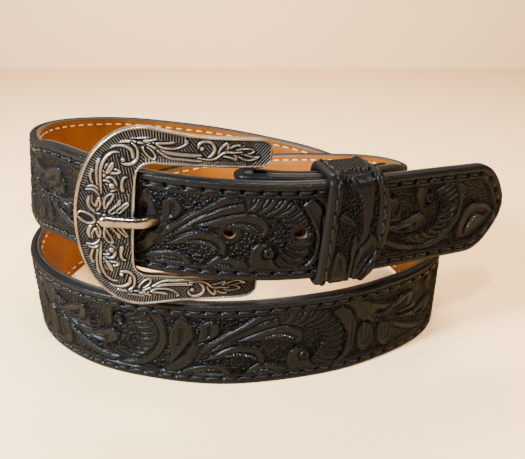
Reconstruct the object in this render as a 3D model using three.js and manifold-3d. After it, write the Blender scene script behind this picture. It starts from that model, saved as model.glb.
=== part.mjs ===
import * as THREE from 'three';
import Module from 'manifold-3d';

const wasm = await Module();
wasm.setup();

// Western tooled belt, buckled and coiled about two turns, standing on its edge. Millimetres, +Z up.
// The path runs clockwise seen from above, from the pointed tip to the end folded round the buckle's bar.

// strap
const strapWidth = 38.1;
const outerThickness = 2.8;
const liningThickness = 1.8;
const layerGap = 0.3;
const edgeRound = 1.2;
const cornerShare = 0.3;
const noseHeight = 3.2;
const tipLength = 19;
const tipFullness = 2.4;

// coil: the radii and heights of the route table are shares of these two
const loopRadius = 100;
const frontRise = 52;

// punched holes, measured from the tip
const firstHole = 95.4;
const holeSpacing = 26;
const holeCount = 5;
const tongueHole = 2;
const holeDiameter = 5;
const punchRun = 0.4;

// buckle frame
const frameLength = 66.6;
const frameHeight = 67.6;
const openingHeight = 42;
const frameThickness = 3.2;
const rimWidth = 1.5;
const rimHeight = 0.8;
const frameEdge = 0.5;
const frameFront = 2;
const frameBow = 150;
const frameTurnOut = 13.6;
const frameLift = 1.6;
const reliefHeight = 0.7;
const reliefWidth = 1.5;
const barDiameter = 4;
const barFromArmEnd = 7.2;
const barClearance = 0.3;
const barSeat = 3;

// tongue
const tongueWidth = 4.8;
const tongueThickness = 3;
const tongueEye = 1.8;
const tongueOverFrame = 12.1;
const tongueRamp = 2;
const tongueDipShare = 1.7;
const tongueClearance = 0.35;

// fold and keeper
const turnBackLength = 62;
const foldEase = 14;
const slotHeight = 6.6;
const slotReach = 8;
const slotEase = 0.6;
const liningStop = 2;
const keeperDistance = 75;
const keeperWidth = 26;
const keeperThickness = 2.4;
const keeperSlack = 0.6;
const keeperCorner = 2.8;
const keeperEdge = 0.7;
const keeperSkew = 1.4;

// how finely the curved bodies are stepped
const stationStep = 7;
const sideStep = 0.25;
const frameSections = 48;
const tongueSections = 20;

// one row for each bend of the coil: turn in degrees from the front, outer face's radius as a share of
// loopRadius, bottom edge's height as a share of frontRise, lean of the top edge outward in degrees
const routeRows = [
  { turn: -78, radius: 1.335, rise: 0.90, lean: 1 },
  { turn: -66, radius: 1.085, rise: 0.92, lean: 1 },
  { turn: -50, radius: 0.920, rise: 0.96, lean: 1 },
  { turn: -25, radius: 0.785, rise: 0.97, lean: 1 },
  { turn: 0, radius: 0.755, rise: 1.02, lean: 1 },
  { turn: 25, radius: 0.760, rise: 1.07, lean: 0 },
  { turn: 50, radius: 0.805, rise: 1.13, lean: -3 },
  { turn: 75, radius: 0.860, rise: 0.97, lean: -7 },
  { turn: 100, radius: 1.005, rise: 0.94, lean: -8 },
  { turn: 130, radius: 1.040, rise: 0.81, lean: -8 },
  { turn: 160, radius: 1.000, rise: 0.62, lean: -6 },
  { turn: 190, radius: 0.990, rise: 0.44, lean: -3 },
  { turn: 220, radius: 0.960, rise: 0.32, lean: 0 },
  { turn: 250, radius: 0.950, rise: 0.13, lean: 0 },
  { turn: 280, radius: 1.040, rise: 0, lean: 0 },
  { turn: 310, radius: 0.845, rise: 0, lean: 0 },
  { turn: 335, radius: 0.730, rise: 0, lean: 0 },
  { turn: 360, radius: 0.700, rise: 0, lean: 0 },
  { turn: 385, radius: 0.720, rise: 0, lean: 0 },
  { turn: 405, radius: 0.790, rise: 0, lean: 0 },
  { turn: 440, radius: 0.930, rise: 0, lean: 0 },
  { turn: 470, radius: 0.965, rise: 0, lean: 0 },
  { turn: 500, radius: 0.955, rise: 0.05, lean: 0 },
  { turn: 540, radius: 0.890, rise: 0.20, lean: 0 },
  { turn: 580, radius: 0.880, rise: 0.36, lean: 0 },
  { turn: 610, radius: 0.870, rise: 0.54, lean: 0 },
  { turn: 635, radius: 0.845, rise: 0.69, lean: 0 },
  { turn: 655, radius: 0.825, rise: 0.83, lean: 0 },
  { turn: 672, radius: 0.830, rise: 0.97, lean: 0 },
  { turn: 688, radius: 0.750, rise: 0.97, lean: 0 },
  { turn: 704, radius: 0.705, rise: 1.00, lean: 0 },
  { turn: 722, radius: 0.695, rise: 1.03, lean: 0 },
];
const tipTurn = -73.8;
const barTurn = 711;

// upper half of the C-shaped frame from the arm's end to the middle of its left side: along as a share
// of frameLength from the arm's end, outer edge's and inner edge's height as shares of frameHeight
const frameRows = [
  { alongOut: 0.000, heightOut: 0.405, alongIn: 0.000, heightIn: 0.370 },
  { alongOut: 0.017, heightOut: 0.441, alongIn: 0.017, heightIn: 0.334 },
  { alongOut: 0.056, heightOut: 0.463, alongIn: 0.056, heightIn: 0.312 },
  { alongOut: 0.110, heightOut: 0.468, alongIn: 0.110, heightIn: 0.310 },
  { alongOut: 0.300, heightOut: 0.468, alongIn: 0.290, heightIn: 0.310 },
  { alongOut: 0.450, heightOut: 0.474, alongIn: 0.440, heightIn: 0.311 },
  { alongOut: 0.570, heightOut: 0.490, alongIn: 0.560, heightIn: 0.311 },
  { alongOut: 0.670, heightOut: 0.500, alongIn: 0.635, heightIn: 0.310 },
  { alongOut: 0.770, heightOut: 0.477, alongIn: 0.672, heightIn: 0.295 },
  { alongOut: 0.845, heightOut: 0.425, alongIn: 0.693, heightIn: 0.266 },
  { alongOut: 0.912, heightOut: 0.347, alongIn: 0.700, heightIn: 0.222 },
  { alongOut: 0.961, heightOut: 0.244, alongIn: 0.702, heightIn: 0.163 },
  { alongOut: 0.990, heightOut: 0.124, alongIn: 0.703, heightIn: 0.081 },
  { alongOut: 1.000, heightOut: 0.000, alongIn: 0.703, heightIn: 0.000 },
];

// raised scrolls and leaves of the frame's upper half, mirrored below. Along as a share of frameLength
// from the arm's end, height as a share of frameHeight from the middle
const scrolls = [
  [[0.06, 0.355], [0.12, 0.395], [0.20, 0.425], [0.28, 0.415]],
  [[0.17, 0.435], [0.22, 0.400], [0.27, 0.350], [0.21, 0.345]],
  [[0.34, 0.350], [0.31, 0.395], [0.36, 0.435], [0.43, 0.405], [0.42, 0.350], [0.37, 0.365]],
  [[0.43, 0.420], [0.52, 0.395], [0.60, 0.350], [0.66, 0.360]],
  [[0.50, 0.440], [0.60, 0.440], [0.69, 0.440], [0.78, 0.385]],
  [[0.66, 0.345], [0.73, 0.360], [0.77, 0.315], [0.74, 0.275], [0.72, 0.310]],
  [[0.85, 0.375], [0.84, 0.290], [0.81, 0.215], [0.82, 0.140], [0.78, 0.080]],
  [[0.90, 0.300], [0.93, 0.225], [0.90, 0.165], [0.87, 0.205]],
  [[0.75, 0.225], [0.76, 0.160], [0.80, 0.110]],
  [[0.94, 0.150], [0.90, 0.095], [0.85, 0.050]],
];

const strapThickness = outerThickness + layerGap + liningThickness;
const barRadius = barDiameter / 2;
const foldRadius = barRadius + barClearance + outerThickness;

// value of one table column at a turn: a curve that keeps its rows' highest and lowest places
function columnAt(rows, key, at) {
  const slopes = [];
  for (let i = 0; i + 1 < rows.length; i++) {
    slopes.push((rows[i + 1][key] - rows[i][key]) / (rows[i + 1].turn - rows[i].turn));
  }
  let i = 0;
  while (i < rows.length - 2 && at > rows[i + 1].turn) i++;
  const tangent = (row) => {
    if (row === 0) return slopes[0];
    if (row === rows.length - 1) return slopes[row - 1];
    if (key === 'radius') {
      const before = rows[row].turn - rows[row - 1].turn;
      const after = rows[row + 1].turn - rows[row].turn;
      return (slopes[row - 1] * after + slopes[row] * before) / (before + after);
    }
    const product = slopes[row - 1] * slopes[row];
    return product > 0 ? (2 * product) / (slopes[row - 1] + slopes[row]) : 0;
  };
  const width = rows[i + 1].turn - rows[i].turn;
  const u = Math.min(1, Math.max(0, (at - rows[i].turn) / width));
  return rows[i][key] * (1 + 2 * u) * (1 - u) ** 2 + rows[i + 1][key] * u * u * (3 - 2 * u)
    + width * (tangent(i) * u * (1 - u) ** 2 - tangent(i + 1) * u * u * (1 - u));
}

// the leather eases the bends between rows, so a value is the mean of three close ones
const easeTurn = 5;
const eased = (key, at) => (columnAt(routeRows, key, at - easeTurn) + columnAt(routeRows, key, at)
  + columnAt(routeRows, key, at + easeTurn)) / 3;

function routePoint(turn) {
  const angle = THREE.MathUtils.degToRad(turn);
  const radius = loopRadius * eased('radius', turn);
  return new THREE.Vector3(
    -radius * Math.sin(angle), -radius * Math.cos(angle), Math.max(0, frontRise * eased('rise', turn)));
}

// a place on the route: bottom corner of the outer face, with the directions along, out and up
function routeFrame(turn) {
  const foot = routePoint(turn);
  const along = routePoint(turn + sideStep).sub(routePoint(turn - sideStep)).normalize();
  const flatOut = new THREE.Vector3(along.y, -along.x, 0).normalize();
  if (flatOut.dot(foot) < 0) flatOut.negate();
  const flatUp = new THREE.Vector3().crossVectors(along, flatOut).normalize();
  if (flatUp.z < 0) flatUp.negate();
  const lean = THREE.MathUtils.degToRad(eased('lean', turn));
  const out = flatOut.clone().multiplyScalar(Math.cos(lean)).addScaledVector(flatUp, -Math.sin(lean));
  const up = flatUp.clone().multiplyScalar(Math.cos(lean)).addScaledVector(flatOut, Math.sin(lean));
  return { foot, along, out, up };
}

// length along the middle of the outer face at each whole turn step
const lengthTable = [{ turn: tipTurn, length: 0 }];
for (let turn = tipTurn; turn < barTurn - 1e-6;) {
  const next = Math.min(turn + 1, barTurn);
  const here = routeFrame(turn);
  const there = routeFrame(next);
  const step = there.foot.addScaledVector(there.up, strapWidth / 2)
    .distanceTo(here.foot.addScaledVector(here.up, strapWidth / 2));
  lengthTable.push({ turn: next, length: lengthTable[lengthTable.length - 1].length + step });
  turn = next;
}
const strapLength = lengthTable[lengthTable.length - 1].length;

function frameAtLength(length) {
  let i = 0;
  while (i < lengthTable.length - 2 && length > lengthTable[i + 1].length) i++;
  const low = lengthTable[i];
  const high = lengthTable[i + 1];
  const share = (length - low.length) / (high.length - low.length);
  return routeFrame(low.turn + share * (high.turn - low.turn));
}

// point of a station: across from the bottom edge, depth inward from the outer face
const pointAt = (station, across, depth) => station.foot.clone()
  .addScaledVector(station.up, across).addScaledVector(station.out, -depth);

// closed body through matching sections, end to end or as a ring
function loft(sections, ring = false) {
  const count = sections[0].length;
  const positions = sections.flat().flatMap((p) => [p.x, p.y, p.z]);
  const index = [];
  const spans = ring ? sections.length : sections.length - 1;
  for (let i = 0; i < spans; i++) {
    const a = i * count;
    const b = ((i + 1) % sections.length) * count;
    for (let k = 0; k < count; k++) {
      const next = (k + 1) % count;
      index.push(a + k, a + next, b + next, a + k, b + next, b + k);
    }
  }
  if (!ring) {
    for (const face of capFaces(sections[0])) index.push(face[2], face[1], face[0]);
    const last = (sections.length - 1) * count;
    for (const face of capFaces(sections[sections.length - 1])) {
      index.push(last + face[0], last + face[1], last + face[2]);
    }
  }
  return facingOut(positions, index);
}

function capFaces(section) {
  const normal = new THREE.Vector3();
  section.forEach((p, k) => {
    const q = section[(k + 1) % section.length];
    normal.x += (p.y - q.y) * (p.z + q.z);
    normal.y += (p.z - q.z) * (p.x + q.x);
    normal.z += (p.x - q.x) * (p.y + q.y);
  });
  normal.normalize();
  const side = section[1].clone().sub(section[0]).normalize();
  const rise = new THREE.Vector3().crossVectors(normal, side);
  return THREE.ShapeUtils.triangulateShape(
    section.map((p) => new THREE.Vector2(p.dot(side), p.dot(rise))), []);
}

function facingOut(positions, index) {
  let volume = 0;
  const corner = (i) => new THREE.Vector3().fromArray(positions, 3 * index[i]);
  for (let i = 0; i < index.length; i += 3) {
    volume += corner(i).dot(corner(i + 1).cross(corner(i + 2)));
  }
  if (volume < 0) {
    for (let i = 0; i < index.length; i += 3) [index[i], index[i + 1]] = [index[i + 1], index[i]];
  }
  const geometry = new THREE.BufferGeometry();
  geometry.setAttribute('position', new THREE.Float32BufferAttribute(positions, 3));
  geometry.setIndex(index);
  return geometry;
}

function solidOf(geometry) {
  return new wasm.Manifold(new wasm.Mesh({
    numProp: 3,
    vertProperties: new Float32Array(geometry.attributes.position.array),
    triVerts: new Uint32Array(geometry.index.array),
  }));
}

function geometryOf(solid) {
  const mesh = solid.getMesh();
  const positions = [];
  for (let i = 0; i < mesh.vertProperties.length; i += mesh.numProp) {
    positions.push(...mesh.vertProperties.slice(i, i + 3));
  }
  return facingOut(positions, Array.from(mesh.triVerts));
}

// round pin from one point to another
function pinBetween(start, end, radius, sides) {
  const axis = end.clone().sub(start).normalize();
  const side = Math.abs(axis.z) > 0.9 ? new THREE.Vector3(1, 0, 0) : new THREE.Vector3(0, 0, 1);
  const first = new THREE.Vector3().crossVectors(axis, side).normalize();
  const second = new THREE.Vector3().crossVectors(axis, first);
  const circle = (centre) => Array.from({ length: sides }, (_, k) => {
    const angle = (2 * Math.PI * k) / sides;
    return centre.clone().addScaledVector(first, radius * Math.cos(angle))
      .addScaledVector(second, radius * Math.sin(angle));
  });
  return loft([circle(start), circle(end)]);
}

// tip: half the strap's width as a share, growing over the tip's length from a blunt nose
function widthShare(length) {
  const back = Math.min(1, Math.max(0, length / tipLength));
  const nose = noseHeight / strapWidth;
  return nose + (1 - nose) * (1 - (1 - back) ** tipFullness);
}

const tipStations = [0, 0.02, 0.06, 0.13, 0.23, 0.36, 0.52, 0.74, 1].map((share) => share * tipLength);

function stationLengths(end) {
  const plainCount = Math.ceil((end - tipLength) / stationStep);
  const plain = Array.from({ length: plainCount }, (_, i) =>
    tipLength + ((end - tipLength) * (i + 1)) / plainCount);
  return [...tipStations, ...plain];
}

// section of the tooled leather: its outer corners are rounded, its inner ones square
function outerSection(station, share) {
  const soft = cornerShare * edgeRound;
  const half = strapWidth / 2;
  const profile = [
    [0, outerThickness], [0, edgeRound], [soft, soft], [edgeRound, 0],
    [strapWidth - edgeRound, 0], [strapWidth - soft, soft], [strapWidth, edgeRound],
    [strapWidth, outerThickness],
  ];
  return profile.map(([across, depth]) => pointAt(station, half + (across - half) * share, depth));
}

function liningSection(station, share) {
  const top = outerThickness + layerGap;
  const soft = cornerShare * liningThickness;
  const half = strapWidth / 2;
  const profile = [
    [0, top], [0, top + liningThickness - soft], [soft, top + liningThickness],
    [strapWidth - soft, top + liningThickness], [strapWidth, top + liningThickness - soft],
    [strapWidth, top],
  ];
  return profile.map(([across, depth]) => pointAt(station, half + (across - half) * share, depth));
}

// the strap's end goes round the bar and lies back along its own inner side
const barStation = frameAtLength(strapLength);
const barFoot = pointAt(barStation, 0, foldRadius);

function foldStations() {
  const stations = [];
  const steps = 8;
  for (let i = 1; i <= steps; i++) {
    const angle = (Math.PI * i) / steps;
    const out = barStation.out.clone().multiplyScalar(Math.cos(angle))
      .addScaledVector(barStation.along, Math.sin(angle));
    stations.push({ foot: barFoot.clone().addScaledVector(out, foldRadius), out, up: barStation.up });
  }
  const layered = strapThickness + layerGap + outerThickness;
  const backSteps = Math.ceil(turnBackLength / stationStep);
  for (let i = 1; i <= backSteps; i++) {
    const back = (turnBackLength * i) / backSteps;
    const station = frameAtLength(strapLength - back);
    const ease = THREE.MathUtils.smoothstep(back, 0, foldEase);
    const depth = 2 * foldRadius + (layered - 2 * foldRadius) * ease;
    stations.push({ foot: pointAt(station, 0, depth), out: station.out.clone().negate(), up: station.up });
  }
  return stations;
}

const turnedBack = foldStations();

// buckle: along from the bar towards the frame's left side, rise from the middle, front out of the plate
const turnOut = THREE.MathUtils.degToRad(frameTurnOut);
const buckle = {
  middle: pointAt(barStation, strapWidth / 2 + frameLift, foldRadius),
  along: barStation.along.clone().multiplyScalar(Math.cos(turnOut))
    .addScaledVector(barStation.out, Math.sin(turnOut)),
  front: barStation.out.clone().multiplyScalar(Math.cos(turnOut))
    .addScaledVector(barStation.along, -Math.sin(turnOut)),
  rise: barStation.up,
};
const plateFront = (along) => frameFront - (along * along) / (2 * frameBow);
const onBuckle = (along, rise, front) => buckle.middle.clone()
  .addScaledVector(buckle.along, along).addScaledVector(buckle.rise, rise)
  .addScaledVector(buckle.front, front);

function toBuckle(point) {
  const from = point.clone().sub(buckle.middle);
  return { along: from.dot(buckle.along), front: from.dot(buckle.front) };
}

// section across the frame from its outer edge to its inner edge, with a raised rim along both
function frameSection(outAlong, outRise, inAlong, inRise) {
  const across = Math.hypot(inAlong - outAlong, inRise - outRise);
  const rim = Math.min(rimWidth, 0.3 * across);
  const edge = Math.min(frameEdge, 0.1 * across);
  const field = -rimHeight;
  const profile = [
    [edge, -frameThickness], [0, edge - frameThickness], [0, -edge], [edge, 0], [rim - edge / 2, 0],
    [rim, field], [across - rim, field], [across - rim + edge / 2, 0], [across - edge, 0], [across, -edge],
    [across, edge - frameThickness], [across - edge, -frameThickness],
  ];
  return profile.map(([offset, height]) => {
    const share = offset / across;
    const along = outAlong + (inAlong - outAlong) * share;
    return onBuckle(along, outRise + (inRise - outRise) * share, plateFront(along) + height);
  });
}

const armStart = -barFromArmEnd;
const openingShare = openingHeight / frameHeight / (2 * frameRows[3].heightIn);

function frameBody() {
  const half = frameRows.map((row) => [
    armStart + row.alongOut * frameLength, row.heightOut * frameHeight,
    armStart + row.alongIn * frameLength, row.heightIn * openingShare * frameHeight,
  ]);
  const mirrored = half.slice(0, -1).reverse().map(([a, b, c, d]) => [a, -b, c, -d]);
  const rows = [...half, ...mirrored];
  const edgeCurve = (first) => new THREE.CatmullRomCurve3(
    rows.map((row) => new THREE.Vector3(row[first], row[first + 1], 0)), false, 'centripetal');
  const outer = edgeCurve(0);
  const inner = edgeCurve(2);
  const sections = [];
  for (let i = 0; i <= frameSections; i++) {
    const o = outer.getPoint(i / frameSections);
    const n = inner.getPoint(i / frameSections);
    sections.push(frameSection(o.x, o.y, n.x, n.y));
  }
  return loft(sections);
}

// a cast ridge along a smooth line on the field, with tapered ends
function ridge(points, side) {
  const line = new THREE.CatmullRomCurve3(points.map(([along, rise]) =>
    new THREE.Vector3(armStart + along * frameLength, side * rise * frameHeight, 0)));
  const steps = 2 * (points.length - 1);
  const sections = [];
  for (let i = 0; i <= steps; i++) {
    const at = line.getPoint(i / steps);
    const heading = line.getTangent(i / steps);
    const taper = 0.35 + 0.65 * Math.sin((Math.PI * i) / steps);
    const base = reliefWidth * taper / 2;
    const top = reliefHeight - rimHeight;
    const bottom = -rimHeight - reliefHeight;
    const profile = [[-base, bottom], [-base / 3, top], [base / 3, top], [base, bottom]];
    sections.push(profile.map(([offset, height]) => {
      const along = at.x - heading.y * offset;
      return onBuckle(along, at.y + heading.x * offset, plateFront(along) + height);
    }));
  }
  return loft(sections);
}

function buckleFrame() {
  let body = solidOf(frameBody());
  const barHalf = openingHeight / 2 + barSeat;
  body = body.add(solidOf(pinBetween(onBuckle(0, -barHalf, 0), onBuckle(0, barHalf, 0), barRadius, 16)));
  for (const points of scrolls) {
    for (const side of [1, -1]) body = body.add(solidOf(ridge(points, side)));
  }
  return geometryOf(body);
}

// tongue: an eye round the bar, then an arm that goes behind the strap, up through its hole and over
// the frame's left side
const tongueStation = frameAtLength(firstHole + tongueHole * holeSpacing);
const behindStation = frameAtLength(
  firstHole + tongueHole * holeSpacing - tongueDipShare * holeDiameter);

function tongueLine() {
  const half = tongueThickness / 2;
  const eyeRadius = barRadius + barClearance + tongueEye / 2;
  const behind = toBuckle(pointAt(behindStation, strapWidth / 2, strapThickness + tongueClearance + half));
  const inHole = toBuckle(pointAt(tongueStation, strapWidth / 2, strapThickness / 2));
  const rest = (along) => ({ along, front: plateFront(along) + tongueClearance + half });
  const innerEdge = armStart + frameRows[frameRows.length - 1].alongIn * frameLength;
  const points = [
    { along: eyeRadius * 0.8, front: -eyeRadius * 0.3 },
    { along: behind.along / 2, front: Math.min(behind.front / 2, -eyeRadius * 0.5) },
    behind,
    inHole,
    rest(innerEdge - tongueRamp),
    rest(innerEdge + tongueOverFrame / 2),
    rest(innerEdge + tongueOverFrame),
  ];
  return new THREE.CatmullRomCurve3(
    points.map((p) => new THREE.Vector3(p.along, p.front, 0)), false, 'centripetal');
}

function tongueArm(extra) {
  const line = tongueLine();
  const corners = [
    [1, 0.35], [0.6, 0.9], [0, 1], [-0.6, 0.9], [-1, 0.35], [-0.85, -0.8], [0, -1], [0.85, -0.8],
  ];
  const sections = [];
  for (let i = 0; i <= tongueSections; i++) {
    const u = i / tongueSections;
    const at = line.getPointAt(u);
    const heading = line.getTangentAt(u);
    const fromTip = (1 - u) * line.getLength();
    const round = Math.sqrt(Math.max(0.06, 1 - Math.max(0, 1 - fromTip / (tongueWidth / 2)) ** 2));
    const wide = (tongueWidth / 2) * round + extra;
    const thick = (tongueThickness / 2) * (0.4 + 0.6 * round) + extra;
    sections.push(corners.map(([rise, front]) => onBuckle(
      at.x - heading.y * front * thick, rise * wide, at.y + heading.x * front * thick)));
  }
  return loft(sections);
}

function tongueBody() {
  const inner = barRadius + barClearance;
  const outer = inner + tongueEye;
  const sides = 16;
  const half = tongueWidth / 2;
  const sections = Array.from({ length: sides }, (_, k) => {
    const angle = (2 * Math.PI * k) / sides;
    return [[inner, -half], [outer, -half], [outer, half], [inner, half]].map(([radius, rise]) =>
      onBuckle(radius * Math.cos(angle), rise, radius * Math.sin(angle)));
  });
  const bore = pinBetween(onBuckle(0, -half, 0), onBuckle(0, half, 0), inner, sides);
  const arm = solidOf(tongueArm(0)).subtract(solidOf(bore));
  return geometryOf(solidOf(loft(sections, true)).add(arm));
}

// holes punched through both layers, the tongue's own pulled long by it
function punches() {
  const pins = [];
  for (let i = 0; i < holeCount; i++) {
    const station = frameAtLength(firstHole + i * holeSpacing);
    pins.push(solidOf(pinBetween(pointAt(station, strapWidth / 2, -punchRun),
      pointAt(station, strapWidth / 2, strapThickness + punchRun), holeDiameter / 2, 18)));
  }
  pins.push(solidOf(tongueArm(tongueClearance)));
  return pins;
}

function tongueSlot() {
  const reach = foldRadius + slotEase;
  const corner = (along, rise, out) => barFoot.clone().addScaledVector(barStation.along, along)
    .addScaledVector(barStation.up, strapWidth / 2 + frameLift + rise)
    .addScaledVector(barStation.out, out);
  const face = (along) => [[-1, -1], [1, -1], [1, 1], [-1, 1]].map(([rise, out]) =>
    corner(along, rise * slotHeight / 2, out * reach));
  return solidOf(loft([face(-slotReach), face(reach)]));
}

function outerStrap() {
  const sections = stationLengths(strapLength).map((length) =>
    outerSection(frameAtLength(length), widthShare(length)));
  for (const station of turnedBack) sections.push(outerSection(station, 1));
  let body = solidOf(loft(sections));
  for (const pin of punches()) body = body.subtract(pin);
  return geometryOf(body.subtract(tongueSlot()));
}

function lining() {
  const end = strapLength - barRadius - barClearance - tongueEye - tongueClearance - liningStop;
  const sections = stationLengths(end).map((length) =>
    liningSection(frameAtLength(length), widthShare(length)));
  let body = solidOf(loft(sections));
  for (const pin of punches()) body = body.subtract(pin);
  return geometryOf(body);
}

// keeper: a band round the tip's run and the folded end behind it
function keeperDepth(stations) {
  let deepest = 0;
  for (const station of stations) {
    for (const back of turnedBack) {
      const from = back.foot.clone().sub(station.foot);
      if (Math.abs(from.dot(station.along)) > stationStep) continue;
      deepest = Math.max(deepest, -from.dot(station.out));
    }
  }
  return deepest;
}

function roundedLoop(low, high, front, back, radius) {
  const perCorner = 5;
  const corners = [
    [low + radius, front + radius, Math.PI], [high - radius, front + radius, 1.5 * Math.PI],
    [high - radius, back - radius, 0], [low + radius, back - radius, 0.5 * Math.PI],
  ];
  return corners.flatMap(([across, depth, start]) => Array.from({ length: perCorner }, (_, i) => {
    const angle = start + (0.5 * Math.PI * i) / (perCorner - 1);
    return [across + radius * Math.cos(angle), depth + radius * Math.sin(angle)];
  }));
}

function keeperLoop() {
  const shares = [-1, 1 - 2 * (keeperWidth - keeperEdge) / keeperWidth, -0.5, 0, 0.5,
    2 * (keeperWidth - keeperEdge) / keeperWidth - 1, 1];
  const lengths = shares.map((share) => keeperDistance + (share * keeperWidth) / 2);
  const stations = lengths.map(frameAtLength);
  const back = keeperDepth(stations) + keeperSlack;
  const inner = roundedLoop(-keeperSlack, strapWidth + keeperSlack, -keeperSlack, back, keeperCorner);
  const grown = (by) => roundedLoop(-keeperSlack - by, strapWidth + keeperSlack + by,
    -keeperSlack - by, back + by, keeperCorner + by);
  const outer = grown(keeperThickness);
  const worn = grown(keeperThickness - keeperEdge);
  const skewed = (i, [across, depth]) => {
    const shift = keeperSkew * (across / strapWidth - 0.5) * 2;
    return pointAt(frameAtLength(lengths[i] - shift), across, depth);
  };
  const last = stations.length - 1;
  const sections = inner.map((corner, k) => {
    const outside = stations.map((_, i) => skewed(i, i === 0 || i === last ? worn[k] : outer[k]));
    const inside = stations.map((_, i) => skewed(i, corner)).filter((_, i) => i !== 1 && i !== last - 1);
    return [...outside, ...inside.reverse()];
  });
  return loft(sections, true);
}

const blackLeather = { color: 0x1d1a17, roughness: 0.45, metalness: 0 };
const brownLeather = { color: 0xa5590c, roughness: 0.6, metalness: 0 };
const antiqueSilver = { color: 0x8d8276, roughness: 0.4, metalness: 1 };
const polishedSilver = { color: 0xd8cfc4, roughness: 0.2, metalness: 1 };

const belt = new THREE.Group();
const addPiece = (name, geometry, look) => {
  const piece = new THREE.Mesh(geometry, new THREE.MeshStandardMaterial(look));
  piece.name = name;
  belt.add(piece);
};
addPiece('outer_strap', outerStrap(), blackLeather);
addPiece('lining', lining(), brownLeather);
addPiece('keeper_loop', keeperLoop(), blackLeather);
addPiece('buckle_frame', buckleFrame(), antiqueSilver);
addPiece('buckle_tongue', tongueBody(), polishedSilver);

// the origin is under the middle of the belt's box, on the surface it stands on
const box = new THREE.Box3().setFromObject(belt);
belt.position.set(-(box.min.x + box.max.x) / 2, -(box.min.y + box.max.y) / 2, -box.min.z);
belt.updateMatrixWorld(true);

export default belt;
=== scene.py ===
import math

import bpy
import numpy as np
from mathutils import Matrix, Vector


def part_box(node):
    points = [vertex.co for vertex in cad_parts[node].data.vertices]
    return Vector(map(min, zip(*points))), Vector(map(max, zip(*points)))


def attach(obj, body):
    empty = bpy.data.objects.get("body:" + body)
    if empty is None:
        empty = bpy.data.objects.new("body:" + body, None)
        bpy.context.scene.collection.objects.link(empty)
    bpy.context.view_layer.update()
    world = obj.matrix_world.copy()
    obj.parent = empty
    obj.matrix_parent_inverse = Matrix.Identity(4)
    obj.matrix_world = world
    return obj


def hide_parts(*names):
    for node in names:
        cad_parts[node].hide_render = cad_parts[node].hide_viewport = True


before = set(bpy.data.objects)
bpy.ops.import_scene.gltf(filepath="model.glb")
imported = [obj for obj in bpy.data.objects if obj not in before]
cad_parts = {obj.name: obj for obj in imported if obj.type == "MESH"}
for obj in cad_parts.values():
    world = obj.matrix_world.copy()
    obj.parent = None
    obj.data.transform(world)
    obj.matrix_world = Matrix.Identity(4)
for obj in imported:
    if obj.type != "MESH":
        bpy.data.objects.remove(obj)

print("belt: packed frame loaded")
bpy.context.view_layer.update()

# western tooled belt, coiled about two turns and standing on its edge; sizes here are in millimetres
strap = {"width": 38.1, "outer": 2.8, "lining": 1.8, "gap": 0.3, "tipLength": 19.0, "nose": 3.2,
         "fullness": 2.4, "firstHole": 95.4, "holeSpacing": 26.0, "holeCount": 5,
         "turnBack": 62.0, "foldEase": 14.0, "fold": 5.1}
coil = {"radius": 100.0, "rise": 52.0, "tipTurn": -73.8, "barTurn": 711.0, "ease": 5.0}

# turn in degrees from the front, radius as a share, height as a share, lean in degrees
bends = np.array([
    (-78, 1.335, 0.90, 1), (-66, 1.085, 0.92, 1), (-50, 0.920, 0.96, 1), (-25, 0.785, 0.97, 1),
    (0, 0.755, 1.02, 1), (25, 0.760, 1.07, 0), (50, 0.805, 1.13, -3), (75, 0.860, 0.97, -7),
    (100, 1.005, 0.94, -8), (130, 1.040, 0.81, -8), (160, 1.000, 0.62, -6), (190, 0.990, 0.44, -3),
    (220, 0.960, 0.32, 0), (250, 0.950, 0.13, 0), (280, 1.040, 0, 0), (310, 0.845, 0, 0),
    (335, 0.730, 0, 0), (360, 0.700, 0, 0), (385, 0.720, 0, 0), (405, 0.790, 0, 0),
    (440, 0.930, 0, 0), (470, 0.965, 0, 0), (500, 0.955, 0.05, 0), (540, 0.890, 0.20, 0),
    (580, 0.880, 0.36, 0), (610, 0.870, 0.54, 0), (635, 0.845, 0.69, 0), (655, 0.825, 0.83, 0),
    (672, 0.830, 0.97, 0), (688, 0.750, 0.97, 0), (704, 0.705, 1.00, 0), (722, 0.695, 1.03, 0),
])


def bendCurve(column, at):
    turns, values = bends[:, 0], bends[:, column]
    widths = np.diff(turns)
    slopes = np.diff(values) / widths
    tangents = np.empty(len(turns))
    tangents[0], tangents[-1] = slopes[0], slopes[-1]
    if column == 1:
        tangents[1:-1] = (slopes[:-1] * widths[1:] + slopes[1:] * widths[:-1]) / (widths[:-1] + widths[1:])
    else:
        product = slopes[:-1] * slopes[1:]
        total = slopes[:-1] + slopes[1:]
        tangents[1:-1] = np.where(product > 0, 2 * product / np.where(total == 0, 1, total), 0)
    row = np.clip(np.searchsorted(turns, at, side="left") - 1, 0, len(turns) - 2)
    u = np.clip((at - turns[row]) / widths[row], 0, 1)
    return (values[row] * (1 + 2 * u) * (1 - u) ** 2 + values[row + 1] * u * u * (3 - 2 * u)
            + widths[row] * (tangents[row] * u * (1 - u) ** 2 - tangents[row + 1] * u * u * (1 - u)))


def eased(column, at):  # the leather eases the bends between rows
    return (bendCurve(column, at - coil["ease"]) + bendCurve(column, at) + bendCurve(column, at + coil["ease"])) / 3


def routePoint(turn):
    angle = np.radians(turn)
    radius = coil["radius"] * eased(1, turn)
    height = np.maximum(0, coil["rise"] * eased(2, turn))
    return np.stack([-radius * np.sin(angle), -radius * np.cos(angle), height], -1)


def unit(v):
    return v / np.linalg.norm(v, axis=-1, keepdims=True)


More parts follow.
